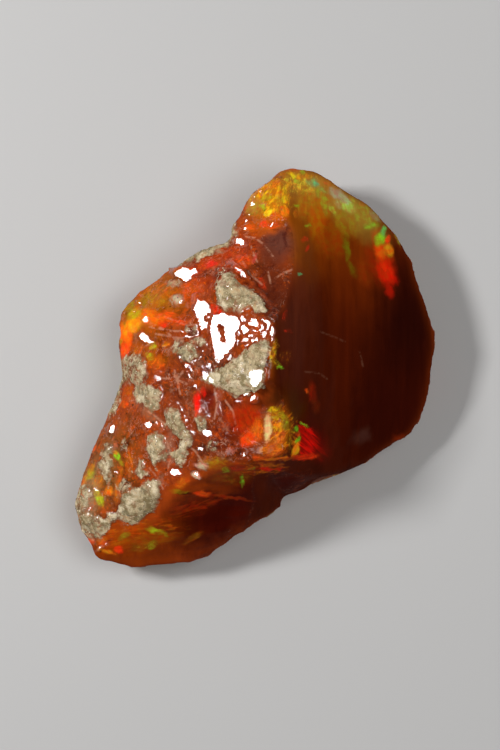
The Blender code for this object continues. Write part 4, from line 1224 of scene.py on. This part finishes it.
def opal_material():
    made = Shader("wet_fire_opal")
    place = made.place()
    face = made.attribute("face")
    crust, crust_edge_shade = crust_shares(made, place)
    # The body is darkened by the painted shade beside the crusts.
    body = made.tinted(crust_edge_shade, body_paint(made, place, face), CRUST_EDGE_SHADE)
    colour, tint, shown = flash_paint(made, body, place)
    colour = made.mix(crust, colour, rock_paint(made, place))
    bare = made.minus(1.0, crust)
    shown = made.times(shown, bare)
    gloss = made.ramp(made.noise(place, 1.2, 3.0), 0.3, 0.7, 0.06, 0.14)
    clear = made.times(bare, made.minus(0.12, made.times(shown, 0.10)))
    dull = made.times(crust, made.minus(1.0, made.attribute("wet")))
    film = made.minus(1.0, made.times(dull, 0.85))
    fine = made.noise(place, 2.4, 2.0, 0.6)
    fine = made.times(fine, made.ramp(made.attribute("skin"), 0.0, 1.0, 0.25, 1.0))
    bump = made.add("ShaderNodeBump", {"Strength": 0.6, "Distance": SKIN_BUMP, "Height": fine})
    skin = bump.outputs[0]
    rough = made.noise(place, 2.0, 2.0, 0.6)
    grit = made.add(
        "ShaderNodeBump",
        {"Strength": crust, "Distance": CRUST_BUMP, "Height": rough, "Normal": skin},
    )
    made.fill(made.surface, {
        "Base Color": colour,
        "Roughness": made.plus(gloss, made.times(crust, 0.40)),
        "Transmission Weight": made.times(clear, made.minus(1.0, face)),
        "IOR": OPAL_IOR,
        "Specular IOR Level": 0.0,
        "Coat Weight": made.times(made.attribute("shine"), film),
        "Coat Roughness": FILM_ROUGHNESS,
        # Painted light: the shown flashes glow by emission in their own tint, also where no lamp
        # reaches.
        "Emission Color": tint,
        "Emission Strength": made.times(shown, 0.22),
        "Normal": grit.outputs[0],
        "Coat Normal": skin,
    })
    inputs = {"Color": DEPTH_COLOUR, "Density": DEPTH_DENSITY}
    depth = made.add("ShaderNodeVolumeAbsorption", inputs)
    made.put(made.output.inputs["Volume"], depth.outputs[0])
    return made.material


def plain_material(name, colour, roughness):
    made = Shader(name)
    made.fill(made.surface, {"Base Color": colour, "Roughness": roughness})
    return made.material


def grain_material():
    """Grains in three tones of sand, and a few dark ones."""
    made = Shader("mineral_grain")
    tone = made.attribute("grain_tone")
    colour = made.mix(made.ramp(tone, 0.10, 0.13), GRAIN_DARK, GRAIN_BROWN)
    colour = made.mix(made.ramp(tone, 0.48, 0.52), colour, GRAIN_SAND)
    colour = made.mix(made.ramp(tone, 0.88, 0.90), colour, GRAIN_PALE)
    made.fill(made.surface, {"Base Color": colour, "Roughness": 0.45})
    return made.material


# ---------------------------------------------------------------------------------------- grains


def grain_tree(material):
    """A node tree that scatters small angular grains over the crusts of the mesh it is given."""
    tree = bpy.data.node_groups.new("mineral_grains", "GeometryNodeTree")
    inputs = {
        "Stone": ("NodeSocketGeometry", None),
        "Grains per square metre": ("NodeSocketFloat", 4.0e6),
        "Smallest grain": ("NodeSocketFloat", 0.04 * MM),
        "Largest grain": ("NodeSocketFloat", 0.11 * MM),
        "Least crust depth": ("NodeSocketFloat", 0.10),
        "Least height": ("NodeSocketFloat", 0.30 * MM),
        "Seed": ("NodeSocketInt", 7),
    }
    for name, (kind, value) in inputs.items():
        socket = tree.interface.new_socket(name, in_out="INPUT", socket_type=kind)
        if value is not None:
            socket.default_value = value
    tree.interface.new_socket("Grains", in_out="OUTPUT", socket_type="NodeSocketGeometry")
    given = tree.nodes.new("NodeGroupInput").outputs

    def add(kind, sockets, output, **settings):
        node = tree.nodes.new(kind)
        for key, value in settings.items():
            setattr(node, key, value)
        for key, value in sockets.items():
            if isinstance(value, bpy.types.NodeSocket):
                tree.links.new(value, node.inputs[key])
            else:
                node.inputs[key].default_value = value
        return node.outputs[output]

    def chance(low, high, seed, kind="FLOAT"):
        """A random number or vector between two limits, for each grain."""
        first, output = (0, 0) if kind == "FLOAT_VECTOR" else (2, 1)
        sockets = {first: low, first + 1: high, "Seed": seed}
        return add("FunctionNodeRandomValue", sockets, output, data_type=kind)

    crust = add("GeometryNodeInputNamedAttribute", {"Name": "crust"}, 0, data_type="FLOAT")
    place = add("GeometryNodeInputPosition", {}, 0)
    height = add("ShaderNodeSeparateXYZ", {"Vector": place}, "Z")
    limits = {"A": crust, "B": given["Least crust depth"]}
    deep = add("FunctionNodeCompare", limits, 0, operation="GREATER_THAN")
    limits = {"A": height, "B": given["Least height"]}
    clear = add("FunctionNodeCompare", limits, 0, operation="GREATER_THAN")
    bearing = add("FunctionNodeBooleanMath", {0: deep, 1: clear}, 0, operation="AND")
    sockets = {0: bearing, 1: given["Grains per square metre"]}
    density = add("ShaderNodeMath", sockets, 0, operation="MULTIPLY")
    sockets = {"Mesh": given["Stone"], "Density": density, "Seed": given["Seed"]}
    points = add("GeometryNodeDistributePointsOnFaces", sockets, "Points")
    grain = add("GeometryNodeMeshIcoSphere", {"Radius": 1.0, "Subdivisions": 1}, "Mesh")
    turn = chance((0, 0, 0), (FULL_TURN,) * 3, 0, "FLOAT_VECTOR")
    width = chance(given["Smallest grain"], given["Largest grain"], 3)
    shape = chance((0.6, 0.6, 0.6), (1.3, 1.3, 1.3), 5, "FLOAT_VECTOR")
    size = add("ShaderNodeVectorMath", {0: shape, "Scale": width}, 0, operation="SCALE")
    sockets = {"Points": points, "Instance": grain, "Rotation": turn, "Scale": size}
    spread = add("GeometryNodeInstanceOnPoints", sockets, 0)
    toned = add(
        "GeometryNodeStoreNamedAttribute",
        {"Geometry": spread, "Name": "grain_tone", "Value": chance(0.0, 1.0, 9)},
        0,
        data_type="FLOAT",
        domain="INSTANCE",
    )
    real = add("GeometryNodeRealizeInstances", {"Geometry": toned}, 0)
    painted = add("GeometryNodeSetMaterial", {"Geometry": real, "Material": material}, 0)
    tree.links.new(painted, tree.nodes.new("NodeGroupOutput").inputs[0])
    return tree


def make_grains(stone):
    """The loose mineral grains that the crusts carry."""
    grains = bpy.data.objects.new("crust_grains", stone.data.copy())
    bpy.context.scene.collection.objects.link(grains)
    scatter = grains.modifiers.new("scatter", "NODES")
    scatter.node_group = grain_tree(grain_material())
    for item in scatter.node_group.interface.items_tree:
        if item.in_out == "INPUT" and item.name == "Seed":
            scatter[item.identifier] = GRAIN_SEED
    apply_modifiers(grains)
    return grains


# ---------------------------------------------------------------------------------------- studio


def area_light(name, place, size, power):
    """A square lamp, measured in metres and watts, that points at the stone."""
    light = bpy.data.lights.new(name, "AREA")
    light.size = size
    light.energy = power
    made = bpy.data.objects.new(name, light)
    bpy.context.scene.collection.objects.link(made)
    made.location = place
    made.rotation_euler = (STONE_HEART - Vector(place)).to_track_quat("-Z", "Y").to_euler()


def set_stage():
    mesh = bpy.data.meshes.new("floor")
    bm = bmesh.new()
    bmesh.ops.create_grid(bm, x_segments=1, y_segments=1, size=FLOOR_REACH)
    bm.to_mesh(mesh)
    bm.free()
    floor = bpy.data.objects.new("floor", mesh)
    bpy.context.scene.collection.objects.link(floor)
    mesh.materials.append(plain_material("pale_paper", PAPER_COLOUR, 0.75))
    world = bpy.data.worlds.new("studio")
    bpy.context.scene.world = world
    world.use_nodes = True
    air = world.node_tree.nodes["Background"]
    air.inputs["Color"].default_value = (*AIR_COLOUR, 1)
    air.inputs["Strength"].default_value = AIR_STRENGTH
    area_light("key", place=[value * MM for value in LAMP], size=0.075, power=1.3)
    area_light("overhead", place=(0.17, 0.02, 0.46), size=0.26, power=1.0)
    bpy.context.scene.view_settings.view_transform = "Standard"


def set_camera():
    """A camera at the eye, which looks straight down."""
    camera = bpy.data.cameras.new("camera")
    camera.sensor_width = 36.0
    distance = (EYE[2] - PLAN_LEVEL) * MM
    camera.lens = camera.sensor_width * distance / VIEW_HEIGHT
    camera.clip_start = 0.01
    made = bpy.data.objects.new("camera", camera)
    bpy.context.scene.collection.objects.link(made)
    made.location = [value * MM for value in EYE]
    bpy.context.scene.camera = made


stone = make_stone()
stone.data.materials.clear()
stone.data.materials.append(opal_material())
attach(stone, "root")
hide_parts("opal")
grains = make_grains(stone)
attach(grains, "root")
set_stage()
set_camera()
